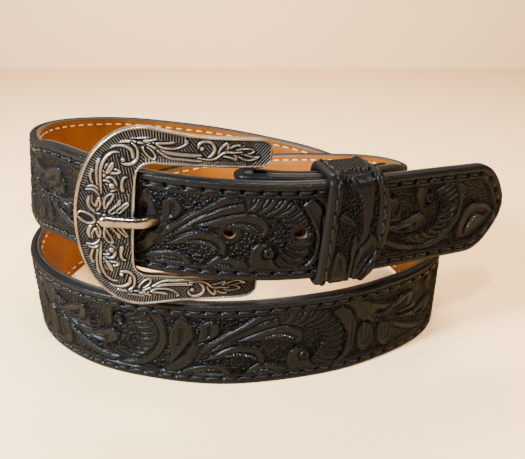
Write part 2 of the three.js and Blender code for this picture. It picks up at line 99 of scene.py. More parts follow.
def routeFrame(turn):  # bottom corner of the outer face, with the directions along, out and up
    foot = routePoint(turn)
    along = unit(routePoint(turn + 0.25) - routePoint(turn - 0.25))
    out = unit(np.stack([along[:, 1], -along[:, 0], 0 * along[:, 0]], -1))
    out = np.where((out * foot).sum(-1, keepdims=True) < 0, -out, out)
    up = unit(np.cross(along, out))
    up = np.where(up[:, 2:] < 0, -up, up)
    lean = np.radians(eased(3, turn))[:, None]
    return foot, along, out * np.cos(lean) - up * np.sin(lean), up * np.cos(lean) + out * np.sin(lean)


turnSteps = np.concatenate([np.arange(coil["tipTurn"], coil["barTurn"], 1.0), [coil["barTurn"]]])
stepFoot, _, _, stepUp = routeFrame(turnSteps)
midLine = stepFoot + stepUp * strap["width"] / 2
stepLength = np.concatenate([[0], np.cumsum(np.linalg.norm(np.diff(midLine, axis=0), axis=1))])
strapLength = stepLength[-1]
foldLength = math.pi * strap["fold"]
endLength = strapLength + foldLength + strap["turnBack"]


def stationsAt(lengths):  # along the strap, round the bar and back
    lengths = np.asarray(lengths, float)
    foot, along, out, up = routeFrame(np.interp(lengths, stepLength, turnSteps))
    barFoot, barAlong, barOut, barUp = (v[0] for v in routeFrame(np.array([coil["barTurn"]])))
    centre = barFoot - barOut * strap["fold"]
    turned = (lengths > strapLength) & (lengths <= strapLength + foldLength)
    angle = ((lengths - strapLength) / strap["fold"])[:, None]
    wrapOut = barOut * np.cos(angle) + barAlong * np.sin(angle)
    wrapAlong = barAlong * np.cos(angle) - barOut * np.sin(angle)
    foot = np.where(turned[:, None], centre + wrapOut * strap["fold"], foot)
    out = np.where(turned[:, None], wrapOut, out)
    along = np.where(turned[:, None], wrapAlong, along)
    up = np.where(turned[:, None], barUp, up)
    back = lengths - strapLength - foldLength
    behind = back > 0
    bf, ba, bo, bu = routeFrame(np.interp(strapLength - np.maximum(back, 0), stepLength, turnSteps))
    share = np.clip(back / strap["foldEase"], 0, 1)
    layered = strap["outer"] * 2 + strap["gap"] * 2 + strap["lining"]
    depth = 2 * strap["fold"] + (layered - 2 * strap["fold"]) * share * share * (3 - 2 * share)
    foot = np.where(behind[:, None], bf - bo * depth[:, None], foot)
    return (foot, np.where(behind[:, None], -ba, along), np.where(behind[:, None], -bo, out),
            np.where(behind[:, None], bu, up))


def placeOn(stations, across, depth):
    foot, _, out, up = stations
    return foot + up * np.asarray(across, float)[..., None] - out * np.asarray(depth, float)[..., None]


# the belt's middle stands over the origin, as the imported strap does
roughLengths = np.arange(0, strapLength, 1.0)
roughStations = stationsAt(roughLengths)
roughCorners = np.concatenate([
    placeOn(roughStations, np.full(len(roughLengths), across), np.full(len(roughLengths), 0.0))
    for across in (1.2, strap["width"] / 2, strap["width"] - 1.2)])
cadLow, cadHigh = (np.array(corner) * 1000 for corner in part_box("outer_strap"))
shift = (cadLow + cadHigh) / 2 - (roughCorners.min(0) + roughCorners.max(0)) / 2
shift[2] = 0


def halfShare(length):  # the pointed tip's width
    back = np.clip(np.asarray(length, float) / strap["tipLength"], 0, 1)
    nose = strap["nose"] / strap["width"]
    return nose + (1 - nose) * (1 - (1 - back) ** strap["fullness"])


def tipShare(length):  # the same with its blunt end rounded over
    near = clamp(np.asarray(length, float) / 1.8)
    return halfShare(length) * np.sqrt(np.maximum(1 - (1 - near) ** 2, 0.02))


def toLinear(code):
    parts = [int(code[i:i + 2], 16) / 255 for i in (1, 3, 5)]
    return tuple(c / 12.92 if c <= 0.04045 else ((c + 0.055) / 1.055) ** 2.4 for c in parts) + (1.0,)


def smoothLine(points, count, closed=False):  # a smooth curve through given points
    points = np.array(points, float)
    if closed:
        padded = np.vstack([points[-1:], points, points[:2]])
    else:
        padded = np.vstack([2 * points[:1] - points[1:2], points, 2 * points[-1:] - points[-2:-1]])
    spans = len(padded) - 3
    at = np.linspace(0, spans, count, endpoint=not closed)
    k = np.minimum(at.astype(int), spans - 1)
    t = (at - k)[:, None]
    a, b, c, d = (padded[k + i] for i in range(4))
    steps = [np.maximum(np.linalg.norm(q - p, axis=1), 1e-6)[:, None] ** 0.5 for p, q in ((a, b), (b, c), (c, d))]
    m1 = (c - b) + steps[1] * ((b - a) / steps[0] - (c - a) / (steps[0] + steps[1]))
    m2 = (c - b) + steps[1] * ((d - c) / steps[2] - (d - b) / (steps[1] + steps[2]))
    return ((2 * t ** 3 - 3 * t ** 2 + 1) * b + (t ** 3 - 2 * t ** 2 + t) * m1
            + (3 * t ** 2 - 2 * t ** 3) * c + (t ** 3 - t ** 2) * m2)


def clamp(value):
    return np.clip(value, 0, 1)


def easeStep(low, high, value):
    t = clamp((value - low) / (high - low))
    return t * t * (3 - 2 * t)


# a sheet of heights that shapes are drawn into, as a tooler or an engraver would cut them
class Sheet:
    def __init__(self, low, high, cell, period=None):
        self.low, self.cell, self.period = np.array(low, float), cell, period
        self.x = self.low[0] + np.arange(int(round((high[0] - low[0]) / cell)) + (0 if period else 1)) * cell
        self.y = self.low[1] + np.arange(int(round((high[1] - low[1]) / cell)) + 1) * cell
        self.height = np.zeros((len(self.x), len(self.y)))
        self.ground = np.zeros_like(self.height)
        self.shine = np.zeros_like(self.height)

    def window(self, line, margin):  # each place where the line's box meets the sheet
        low, high = line.min(0) - margin, line.max(0) + margin
        turns = range(-2, 3) if self.period else (0,)
        for turn in turns:
            move = np.array([turn * (self.period or 0), 0])
            i0, i1 = np.searchsorted(self.x, [low[0] + move[0], high[0] + move[0]])
            j0, j1 = np.searchsorted(self.y, [low[1], high[1]])
            if i1 > i0 and j1 > j0:
                box = (slice(i0, i1), slice(j0, j1))
                px, py = np.meshgrid(self.x[box[0]] - move[0], self.y[box[1]], indexing="ij")
                yield box, px, py

    def sample(self, x, y, name="height"):
        data = getattr(self, name)
        fx = (x - self.low[0]) / self.cell
        if self.period:
            fx = fx % data.shape[0]
        fx = np.clip(fx, 0, data.shape[0] - (1e-3 if self.period else 1.001))
        fy = np.clip((y - self.low[1]) / self.cell, 0, data.shape[1] - 1.001)
        i, j = fx.astype(int), fy.astype(int)
        i2 = (i + 1) % data.shape[0]
        tx, ty = fx - i, fy - j
        return ((data[i, j] * (1 - tx) + data[i2, j] * tx) * (1 - ty)
                + (data[i, j + 1] * (1 - tx) + data[i2, j + 1] * tx) * ty)


def measure(px, py, line, closed):  # distance to a line, share along it, and whether inside
    best = np.full(px.shape, 1e9)
    share = np.zeros(px.shape)
    inside = np.zeros(px.shape, bool)
    count = len(line) if closed else len(line) - 1
    for k in range(count):
        (ax, ay), (bx, by) = line[k], line[(k + 1) % len(line)]
        dx, dy = bx - ax, by - ay
        t = clamp(((px - ax) * dx + (py - ay) * dy) / max(dx * dx + dy * dy, 1e-9))
        gap = (px - ax - t * dx) ** 2 + (py - ay - t * dy) ** 2
        near = gap < best
        best = np.where(near, gap, best)
        share = np.where(near, (k + t) / count, share)
        if closed:
            inside ^= ((ay > py) != (by > py)) & (px < (bx - ax) * (py - ay) / (by - ay + 1e-12) + ax)
    return np.sqrt(best), share, inside


tooling = {"depth": 0.85, "press": 0.95, "shoulder": 0.42, "dish": 0.26, "scoop": 0.7, "cut": 0.36, "lip": 0.16}


def raiseShape(sheet, points, crown=1.0, shine=0.0, press=1.0):  # a part left standing above the ground
    line = smoothLine(points, 6 * len(points), closed=True)
    margin = tooling["press"] + 0.2
    for box, px, py in sheet.window(line, margin):
        gap, _, inside = measure(px, py, line, True)
        height = sheet.height[box]
        around = -tooling["depth"] * press * (1.15 - 0.75 * gap / tooling["press"])
        pressed = np.where((~inside) & (gap < tooling["press"]), np.minimum(height, around), height)
        rise = -tooling["depth"] * np.exp(-(gap / tooling["shoulder"]) ** 1.5)
        body = rise + 0.12 - tooling["dish"] * crown * easeStep(0.55, 1.9, gap)
        body = body + tooling["lip"] * np.exp(-((gap - 0.5) / 0.3) ** 2)
        sheet.height[box] = np.where(inside, body, pressed)
        sheet.ground[box] = np.where(inside, 0, sheet.ground[box])
        sheet.shine[box] = np.where(inside, shine, sheet.shine[box])


def scoopShape(sheet, points, depth=1.0):  # the hollow a shading tool leaves
    line = smoothLine(points, 6 * len(points), closed=True)
    for box, px, py in sheet.window(line, 0.3):
        gap, _, inside = measure(px, py, line, True)
        hollow = tooling["scoop"] * depth * easeStep(0, 0.9, gap)
        sheet.height[box] = np.where(inside, sheet.height[box] - hollow, sheet.height[box])


def cutLine(sheet, points, depth=1.0, width=0.45, fade=False):
    line = smoothLine(points, 6 * len(points))
    for box, px, py in sheet.window(line, width * 3):
        gap, share, _ = measure(px, py, line, False)
        strength = (1 - share) if fade else 1
        sheet.height[box] -= tooling["cut"] * depth * strength * np.exp(-(gap / width) ** 2)


def ridgeLine(sheet, points, rise=0.3, width=0.5, taper=0.35):
    line = smoothLine(points, 6 * len(points))
    for box, px, py in sheet.window(line, width * 3):
        gap, share, _ = measure(px, py, line, False)
        wide = width * (taper + (1 - taper) * np.sin(np.pi * clamp(share)) ** 0.5)
        bump = rise * np.exp(-(gap / wide) ** 2)
        sheet.height[box] += bump
        sheet.shine[box] = np.maximum(sheet.shine[box], 0.6 * np.exp(-(gap / wide) ** 2))


def toolEye(sheet, centre, radius=1.9):  # a ring with a raised middle
    circle = np.array(centre) + np.array([[radius, radius], [-radius, -radius]])
    for box, px, py in sheet.window(circle, 1.2):
        gap = np.hypot(px - centre[0], py - centre[1])
        groove = -tooling["depth"] * np.exp(-((gap - radius * 1.25) / 0.45) ** 2)
        ring = 0.25 * np.exp(-((gap - radius * 0.8) / 0.38) ** 2)
        pit = -tooling["depth"] * 0.8 * np.exp(-(gap / (radius * 0.42)) ** 2)
        near = gap < radius * 1.7
        sheet.height[box] = np.where(near, sheet.height[box] * (gap > radius) + groove + ring + pit, sheet.height[box])
        sheet.ground[box] = np.where(near, 0, sheet.ground[box])


# tooled pattern of the strap: along and across in millimetres, repeated every period
pattern = {"period": 134.5, "cell": 0.14, "border": 5.3, "stitchIn": 3.3, "stitchPitch": 6.7}
stems = {
    "fronds": [(-13.5, 32.5), (-23.5, 33), (-29.5, 30), (-36, 27.5), (-43, 26.5), (-50, 27), (-50, 13.5),
               (-41.5, 16.5), (-36, 17.5), (-31, 20), (-27, 19.5), (-23.5, 22.5), (-19.5, 26.5)],
    "stemRight": [(55, 5.5), (50.5, 10), (45.5, 14), (43, 18), (40.5, 22.5), (39, 21), (36, 21), (33.5, 22.5),
                  (27.5, 27.5), (27.5, 18.5), (36, 15), (41, 12), (47.5, 6.5)],
    "ribbonLow": [(41.5, 12.5), (36, 17.5), (32, 20.5), (26.5, 24.5), (20, 28), (16, 29.5), (10.5, 31),
                  (10, 27.5), (13, 26), (17.5, 24.5), (22.5, 22.5), (30, 18.5)],
    "ribbon": [(39.5, 17), (33.5, 22), (28, 26), (22.5, 29.5), (19, 32), (16, 33), (10, 31.5), (16, 30),
               (20, 28), (26.5, 24.5), (32, 20.5), (39, 15)],
    "longStem": [(104.5, 20.5), (101, 21), (97, 18.5), (93, 16), (87.5, 13), (83, 11), (76.5, 9), (71, 8),
                 (69, 5.5), (76.5, 6), (83, 7.5), (88.5, 10), (94.5, 13.5), (100, 17)],
}
fans = {  # inner and outer edge, and how many petals lie between
    "upper": {"inner": [(-1.5, 8), (-3.5, 9.5), (-6, 12), (-7.5, 15), (-8, 18.5), (-6.5, 21.5), (-4, 24),
                        (-1, 26), (3.5, 26.5), (8.5, 27), (13, 26), (17.5, 24.5)],
              "outer": [(-6, 3.5), (-10.5, 5.5), (-13, 9), (-14.5, 14), (-14.5, 18.5), (-14, 22.5), (-11.5, 27),
                        (-8, 30.5), (-3, 32.5), (3.5, 33), (10.5, 33), (16.5, 33)], "petals": 15},
    "lower": {"inner": [(68, 30), (65.5, 28.5), (63, 26), (62.5, 22), (63, 18.5), (65, 15.5), (68.5, 13.5),
                        (73.5, 12.5), (78.5, 12.5), (84, 13)],
              "outer": [(64, 33), (58, 32.5), (56, 29), (54.5, 25.5), (54.5, 21), (56.5, 16), (60, 12),
                        (64, 9), (69, 7.5), (76.5, 7)], "petals": 13},
}
leaves = {  # outline, hollow, and the row of seed dots
    "bigLeaf": [[(-12.5, 5), (-15.5, 8.5), (-17, 13.5), (-17, 18), (-15.5, 22), (-13, 26.5), (-11, 30),
                 (-14.5, 32), (-18, 30), (-20, 25), (-21, 21), (-20.5, 17.5), (-20.5, 13.5), (-18.5, 8.5),
                 (-15, 5)], None, None],
    "petalFive": [[(-25.5, 6.5), (-22.5, 9), (-21.5, 12.5), (-21.5, 17), (-22.5, 20.5), (-25.5, 21.5),
                   (-28, 19.5), (-29, 15.5), (-28.5, 12), (-27, 8.5)], None, None],
    "petalSix": [[(-35.5, 5.5), (-33, 7.5), (-31.5, 11), (-31, 15), (-31.5, 18), (-34.5, 19), (-37.5, 17),
                  (-38.5, 13.5), (-38.5, 10), (-37.5, 7)], None, None],
    "bandTwo": [[(58, 33), (54.5, 32.5), (52.5, 30), (51.5, 25.5), (51.5, 20), (54, 14), (57, 10.5),
                 (60.5, 7.5), (64.5, 6), (69, 5.5), (73.5, 6), (69, 7.5), (64, 9), (60, 12), (56.5, 16),
                 (54.5, 21), (54.5, 25.5), (56, 29)], None, None],
    "petalOne": [[(54.5, 5.5), (51.5, 10.5), (50.5, 15), (51, 21), (50, 25.5), (48, 29), (45.5, 32.5),
                  (43, 30), (41.5, 27), (41, 23.5), (43, 20.5), (45.5, 16.5), (48.5, 12), (52, 8.5)],
                 [(48.5, 18), (47.5, 21), (47.5, 24), (46, 27.5), (44, 26.5), (44.5, 23), (45.5, 19.5),
                  (47, 18)], None],
    "petalTwo": [[(40, 20.5), (39, 25), (39, 28), (37.5, 30), (35, 31), (32.5, 29.5), (31.5, 27.5),
                  (32.5, 24.5), (35, 22.5), (37.5, 21.5)],
                 [(37.5, 22.5), (36.5, 25), (36.5, 28), (35, 29.5), (34, 27), (35, 24)], None],
    "leafFour": [[(48.5, 4.5), (44, 8), (39, 9.5), (34, 10), (31, 9.5), (29, 8), (28, 4.5)],
                 [(43.5, 4.5), (39.5, 7.5), (35, 8.5), (31.5, 7.5), (30.5, 4.5)],
                 [(41.5, 6.3), (38, 7.2), (34.5, 7.4)]],
    "leafThree": [[(23.5, 4), (22, 6.5), (20.5, 8.5), (18, 10), (15, 10), (12, 9), (9, 8), (5.5, 6.5), (3, 3.5)],
                  [(20.5, 4), (18.5, 6.5), (16, 7.5), (12.5, 6.5), (10.5, 4)],
                  [(19.2, 5.6), (17, 6.2), (13.5, 6)]],
    "leafTwo": [[(38, 12), (33.5, 15.5), (29, 18), (25, 19), (21, 18.5), (18, 17.5), (16, 15), (15.5, 12.5),
                 (16, 9.5), (18, 11.5), (21, 13), (25.5, 13.5), (30, 13.5), (34.5, 12.5)],
                [(30, 15), (26, 16.5), (21.5, 16), (18.5, 14.5), (17, 12.5), (18, 12), (21, 14), (25.5, 14.5)],
                [(29.5, 14.7), (26.5, 15), (23.5, 14.8), (20.5, 13.9), (18.8, 12.7)]],
    "leafOne": [[(27, 21), (22, 23), (17.5, 25), (12, 26.5), (8.5, 27), (4.5, 26), (2, 24.5), (1, 22), (1, 20),
                 (2.5, 18), (3.5, 18), (6.5, 19), (10.5, 20.5), (16, 21), (22.5, 21)],
                [(17.5, 22), (12.5, 24), (8.5, 24), (5, 23), (2.5, 21), (2.5, 19), (4.5, 19), (7, 20.5), (11, 22)],
                [(15, 22.3), (12, 22.8), (9.5, 22.7), (7, 21.8), (4.8, 20.2)]],
    "leafFive": [[(98.5, 21), (93, 19.5), (87.5, 19), (83, 19), (78.5, 20.5), (75.5, 21.5), (73.5, 22), (72, 21),
                  (71, 18.5), (72, 16.5), (74, 15), (77, 14), (81.5, 14), (85.5, 15), (89.5, 16), (93.5, 18)],
                 [(85, 16.5), (81, 17.5), (77.5, 18), (75, 18.5), (75.5, 16.5), (78, 15), (82, 15)],
                 [(84, 16.8), (81, 17.3), (77, 17.9)]],
    "leafSix": [[(105.5, 24.5), (100, 24.5), (97, 26), (93, 28.5), (89.5, 29.5), (86.5, 30), (85, 28), (85.5, 25),
                 (86.5, 23), (89.5, 22.5), (93, 22.5), (97.5, 21.5), (102, 22.5)],
                [(98, 23), (93.5, 25), (90, 26.5), (89, 28), (88.5, 26), (89.5, 24), (93.5, 23)], None],
    "leafSeven": [[(108, 32), (106, 34), (103, 35), (100, 34.5), (99, 32.5), (100.5, 31.5), (104.5, 31)],
                  None, None],
    "eyeLeaf": [[(2.5, 15.5), (5, 15), (6.5, 13), (7, 10.5), (7, 7.5), (5.5, 5), (3, 3.5), (-1, 3), (-4, 4),
                 (-3.5, 6.5), (-2, 8), (-2, 11), (-1.5, 13.5), (0.5, 15)], None, None],
    "eyeLeafTwo": [[(73.5, 34.5), (76, 33.5), (77.5, 31.5), (77.5, 29), (76.5, 26.5), (75, 24), (73, 25),
                    (72.5, 27), (72.5, 30), (72, 32.5), (69.5, 33.5)], None, None],
}
eyes = [(0, 11.5), (70.5, 27.5)]
veins = [
    [(-16.5, 31.5), (-19.5, 27.5), (-23.5, 23.5), (-27, 20.5)],
    [(-24, 27.5), (-26.5, 24.5), (-31, 21), (-36, 18)],
    [(-29, 26.5), (-34, 24), (-39, 21.5), (-44, 18), (-49, 15)],
    [(-23.2, 19), (-23, 15.5), (-24, 11.5)], [(-25.2, 20), (-25.2, 15), (-25.3, 10.5)],
    [(-27.2, 18.8), (-27.2, 15), (-26.6, 11.5)], [(-33, 17), (-33, 13), (-34, 10)],
    [(-34.8, 17.6), (-34.8, 13), (-35, 9.5)], [(-36.8, 16.2), (-36.8, 13), (-36, 10)],
    [(-19, 30), (-18.8, 25), (-19, 19), (-18.4, 12)],
]
lips = [  # polished upper edges that catch the light
    [(-1.5, 8), (-3.5, 9.5), (-6, 12), (-7.5, 15), (-8, 18.5), (-6.5, 21.5), (-4, 24), (-1, 26), (3.5, 26.5)],
    [(65.5, 28.5), (63, 26), (62.5, 22), (63, 18.5), (65, 15.5), (68.5, 13.5), (73.5, 12.5), (78.5, 12.5),
     (84, 13), (87.5, 14.5), (93, 17), (98, 20.5)],
    [(39.5, 16.5), (33.5, 21.5), (28, 25.5), (22.5, 29), (19, 31.5)],
    [(32, 20), (26.5, 24), (20, 27.5), (16, 29.2)],
    [(104, 20), (98, 17.8), (93, 14.6), (87.5, 11.6), (83, 9.6), (76.5, 8)],
]


def borderGround(sheet, distance):  # stamped ground inside the border line
    inside = easeStep(0, 0.5, distance)
    sheet.height[:] = -tooling["depth"] * inside
    sheet.ground[:] = inside


def finishBorder(sheet, distance):  # the plain rim outside the border line, and the line itself
    rim = distance < 0
    sheet.height[:] = np.where(rim, 0, sheet.height) - 0.45 * np.exp(-(distance / 0.32) ** 2)
    sheet.ground[:] = np.where(rim, 0, sheet.ground)
    sheet.shine[:] = np.where(rim, 0, sheet.shine)


def drawFan(sheet, fan):
    inner = smoothLine(fan["inner"], 80)
    outer = smoothLine(fan["outer"], 80)
    raiseShape(sheet, list(map(tuple, inner[::8])) + list(map(tuple, outer[::-1][::8])), crown=0.2)
    count = fan["petals"]
    for k in range(count):
        a, b = (k + 0.08) / count, (k + 0.92) / count
        picks = [inner[int(a * 79)], inner[int(b * 79)], outer[int(b * 79)], outer[int(a * 79)]]
        low = (picks[0] + picks[1]) / 2
        high = (picks[2] + picks[3]) / 2
        side = np.array([-(high - low)[1], (high - low)[0]]) * 0.10
        bow = (low + high) / 2 + side
        line = smoothLine([low, bow, high], 14)
        wide = 0.5 * np.linalg.norm(picks[3] - picks[2]) * 0.62
        narrow = 0.5 * np.linalg.norm(picks[1] - picks[0]) * 0.62
        for box, px, py in sheet.window(line, wide + 0.8):
            gap, share, _ = measure(px, py, line, False)
            half = np.maximum(narrow + (wide - narrow) * share, 0.35)
            body = 0.42 * np.sqrt(np.maximum(0, 1 - (gap / half) ** 2))
            valley = -0.34 * np.exp(-((gap - half) / 0.28) ** 2)
            keep = gap < half + 0.5
            sheet.height[box] = np.where(keep, -0.32 + body + valley, sheet.height[box])
            sheet.shine[box] = np.where(gap < half * 0.6, 0.5, sheet.shine[box])


seedRows = []
tile = Sheet((0, 0), (pattern["period"], strap["width"]), pattern["cell"], period=pattern["period"])
acrossTile = np.broadcast_to(tile.y, tile.height.shape)
tileBorder = np.minimum(acrossTile, strap["width"] - acrossTile) - pattern["border"]
borderGround(tile, tileBorder)
for name in ("fronds", "stemRight"):
    raiseShape(tile, stems[name])
drawFan(tile, fans["upper"])
drawFan(tile, fans["lower"])
for name in ("ribbonLow", "ribbon", "longStem"):
    raiseShape(tile, stems[name], shine=0.4)
for name, (outline, hollow, seeds) in leaves.items():
    raiseShape(tile, outline, shine=0.3)
    if hollow:
        scoopShape(tile, hollow)
    if seeds:
        seedRows.append(smoothLine(seeds, 40))
for line in veins:
    cutLine(tile, line, depth=1.3, width=0.35)
for line in lips:
    ridgeLine(tile, line, rise=0.28, width=0.42)
for centre in eyes:
    toolEye(tile, centre)
finishBorder(tile, tileBorder)
print("strap: pattern drawn", tile.height.shape)


# the tip has a leaf of its own beyond the last fan
tipEnd = 24.5
tipSheet = Sheet((-1, 0), (34, strap["width"]), pattern["cell"])
tipAlong, tipAcross = np.meshgrid(tipSheet.x, tipSheet.y, indexing="ij")
rimTop = np.array([(s, strap["width"] / 2 * (1 + tipShare(s))) for s in np.linspace(0, 40, 160)])
rimLow = np.array([(s, strap["width"] - y) for s, y in rimTop])
tipOutline = np.vstack([rimLow[::-1], rimTop])
tipRim = {"line": tipOutline}


def rimDistance(s, v):  # how far a point lies inside the strap's outline
    s, v = np.asarray(s, float), np.asarray(v, float)
    plain = np.minimum(v, strap["width"] - v)
    near = s < 34
    if near.any():
        gap, _, _ = measure(s[near], v[near], tipRim["line"], False)
        plain = plain.copy()
        plain[near] = np.minimum(gap, plain[near] + 50)
    return plain


tipGap = rimDistance(tipAlong, tipAcross) - pattern["border"]
borderGround(tipSheet, tipGap)
raiseShape(tipSheet, [(30, 33), (27, 33), (24.5, 29), (24, 24), (24.5, 18), (26, 12), (28, 6), (31, 6), (29, 12),
                      (27.6, 18), (27, 24), (28, 29)])
raiseShape(tipSheet, [(25.5, 8.5), (24.5, 12.5), (24, 16), (23, 19), (20.5, 21.5), (17, 22.5), (14, 22.5),
                      (10.5, 21.5), (8, 19.5), (6.5, 18), (7.5, 16), (10.5, 12.5), (15, 9.5), (19.5, 7.5),
                      (22.5, 7.5)], shine=0.3)
scoopShape(tipSheet, [(21.5, 8.5), (21, 12.5), (20, 16), (18, 18.5), (15, 20), (10.5, 19), (9, 18), (10.5, 16),
                      (15, 17), (18, 14.5), (19.5, 11)])
ridgeLine(tipSheet, [(23.4, 19), (20.5, 21.2), (17, 22.1), (14, 22.1), (10.5, 21)], rise=0.25, width=0.42)
finishBorder(tipSheet, tipGap)
tipSeeds = smoothLine([(19.5, 11), (18.5, 13.5), (17, 15.5), (15, 16.5)], 40)

# how the repeat lies on the strap: length from the tip against place in the pattern
spread = np.array([(0, -106.5), (106.5, 0), (190, 83.5), (603, 474.5), (673, 538), (767, 623.8), (1340, 1164)])


def patternPlace(s):
    return np.interp(s, spread[:, 0], spread[:, 1])


def stitchPath(side, inset):  # the sewn line, following the outline at the tip
    rows = []
    for s in np.arange(0.2, 60, 0.2):
        edge = strap["width"] / 2 * (1 + halfShare(s))
        ahead = strap["width"] / 2 * (1 + halfShare(s + 0.1))
        slope = np.array([0.1, ahead - edge])
        slope /= np.linalg.norm(slope)
        spot = np.array([s, edge]) + np.array([slope[1], -slope[0]]) * inset
        if spot[1] > strap["width"] / 2 + 0.4:
            rows.append(spot)
    rows = np.array(rows)
    rows = rows[np.argsort(rows[:, 0])]
    tail = np.array([(s, strap["width"] - inset) for s in np.arange(61, endLength, 2.0)])
    path = np.vstack([rows, tail])
    if side < 0:
        path[:, 1] = strap["width"] - path[:, 1]
    return path


def spacedAlong(path, pitch, start, stop):
    steps = np.concatenate([[0], np.cumsum(np.linalg.norm(np.diff(path, axis=0), axis=1))])
    marks = np.arange(start, min(stop, steps[-1]), pitch)
    return np.stack([np.interp(marks, steps, path[:, 0]), np.interp(marks, steps, path[:, 1])], -1)


needleHoles = [spacedAlong(stitchPath(side, pattern["stitchIn"]), pattern["stitchPitch"], 1.5, endLength - 3)
               for side in (1, -1)]


def holeDips(s, v, holes, width=0.9, depth=1.25):
    dip = np.zeros_like(s)
    for row in holes:
        order = np.argsort(row[:, 0])
        hs, hv = row[order, 0], row[order, 1]
        k = np.clip(np.searchsorted(hs, s), 1, len(hs) - 1)
        for j in (k - 1, k):
            gap = ((s - hs[j]) / width) ** 2 + ((v - hv[j]) / (width * 0.8)) ** 2
            dip = np.maximum(dip, depth * np.exp(-gap))
    return dip


def outerHeight(s, v):  # height of the tooled face over the plain one, and its masks
    s, v = np.broadcast_arrays(np.asarray(s, float), np.asarray(v, float))
    place = patternPlace(s)
    rim = rimDistance(s, v)
    height = tile.sample(place, v)
    ground = tile.sample(place, v, "ground")
    shine = tile.sample(place, v, "shine")
    atTip = s < tipEnd
    height = np.where(atTip, tipSheet.sample(s, v), height)
    ground = np.where(atTip, tipSheet.sample(s, v, "ground"), ground)
    shine = np.where(atTip, tipSheet.sample(s, v, "shine"), shine)
    channel = 0.5 * np.exp(-((rim - pattern["stitchIn"]) / 0.75) ** 2)
    dips = holeDips(s, v, needleHoles)
    holes = strap["firstHole"] + strap["holeSpacing"] * np.arange(strap["holeCount"])
    for hole in holes:  # leather rises a little round each punched hole
        gap = np.hypot(s - hole, v - strap["width"] / 2)
        near = gap < 7
        if near.any():
            lip = 0.3 * np.exp(-((gap - 3.3) / 0.55) ** 2)
            height = np.where(near & (gap < 4.4), np.maximum(height, -0.55) + lip, height)
            ground = np.where(gap < 3.9, 0, ground)
            shine = np.where(np.abs(gap - 3.2) < 0.6, 1.0, shine)
    return height - channel - dips, ground, shine, dips


# small helpers for pieces
def quadGrid(rows, columns, closedRows=False, closedColumns=False, start=0):
    i = np.arange(rows if closedRows else rows - 1)
    j = np.arange(columns if closedColumns else columns - 1)
    i, j = np.meshgrid(i, j, indexing="ij")
    i2, j2 = (i + 1) % rows, (j + 1) % columns
    quads = np.stack([i * columns + j, i2 * columns + j, i2 * columns + j2, i * columns + j2], -1)
    return start + quads.reshape(-1, 4), i.ravel(), j.ravel()


def facedOut(points, faces, normals):  # turns faces so that they look away from the leather or metal
    corners = points[np.array([face[:3] for face in faces])]
    facing = np.cross(corners[:, 1] - corners[:, 0], corners[:, 2] - corners[:, 0])
    if normals is not None:
        wrong = (facing * normals[np.array([face[1] for face in faces])]).sum(1) < 0
    else:
        middle = corners.mean(1)
        quad = np.array([0.5 if len(face) == 3 else 1.0 for face in faces])
        wrong = np.full(len(faces), ((middle * facing).sum(1) * quad).sum() < 0)
    return [tuple(int(k) for k in (reversed(face) if turn else face)) for face, turn in zip(faces, wrong)]


def addPiece(name, points, faces, materials, nodes, faceMaterials=None, attributes=None, normals=None):
    mesh = bpy.data.meshes.new(name)
    faces = facedOut(points, faces, normals)
    mesh.from_pydata(((points + shift) / 1000).tolist(), [], faces)
    for material in materials:
        mesh.materials.append(material)
    if faceMaterials is not None:
        mesh.polygons.foreach_set("material_index", np.asarray(faceMaterials, np.int32))
    mesh.polygons.foreach_set("use_smooth", np.ones(len(mesh.polygons), bool))
    for key, values in (attributes or {}).items():
        values = np.asarray(values, np.float32)
        kind = "FLOAT_VECTOR" if values.ndim == 2 else "FLOAT"
        layer = mesh.attributes.new(key, kind, "POINT")
        layer.data.foreach_set("vector" if values.ndim == 2 else "value", values.ravel())
    mesh.update()
    if normals is not None:
        mesh.normals_split_custom_set_from_vertices(normals.tolist())
    piece = bpy.data.objects.new(name, mesh)
    bpy.context.collection.objects.link(piece)
    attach(piece, "root")
    for node in nodes:
        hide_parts(node)
    return piece


def gridNormals(points, closedColumns):  # smooth normals over a whole sheet, kept where it is split up
    along = np.gradient(points, axis=0)
    if closedColumns:
        across = np.roll(points, -1, 1) - np.roll(points, 1, 1)
    else:
        across = np.gradient(points, axis=1)
    normal = np.cross(along, across)
    return normal / np.maximum(np.linalg.norm(normal, axis=-1, keepdims=True), 1e-9)


def addNode(tree, kind, settings=None, inputs=None, output=0):  # an input is a value or the socket that feeds it
    node = tree.nodes.new("ShaderNode" + kind)
    for key, value in (settings or {}).items():
        setattr(node, key, value)
    for key, value in (inputs or {}).items():
        if isinstance(value, bpy.types.NodeSocket):
            tree.links.new(value, node.inputs[key])
        else:
            node.inputs[key].default_value = value
    return node.outputs[output]


def newMaterial(name):
    material = bpy.data.materials.new(name)
    material.use_nodes = True
    tree = material.node_tree
    return material, tree, tree.nodes["Principled BSDF"], addNode(tree, "TexCoord", output="Object")


# settings that several nodes share; noise scales are 1000 over the pattern's pitch in millimetres
times, timesClamped = {"operation": "MULTIPLY"}, {"operation": "MULTIPLY", "use_clamp": True}
plus, plusClamped = {"operation": "ADD"}, {"operation": "ADD", "use_clamp": True}
minus, minusClamped = {"operation": "SUBTRACT"}, {"operation": "SUBTRACT", "use_clamp": True}
colours = {"data_type": "RGBA"}

# black saddle leather, waxed on its raised parts: soft sheen, dull in the stamped ground; painted shade makes its
# recesses darker
leatherLook = {"face": "#0b0a09", "worn": "#12100f", "deep": "#040303", "roughHigh": 0.2, "roughGround": 0.24,
               "roughRim": 0.12, "specular": 0.055, "grain": 0.45, "stipple": 1.15}


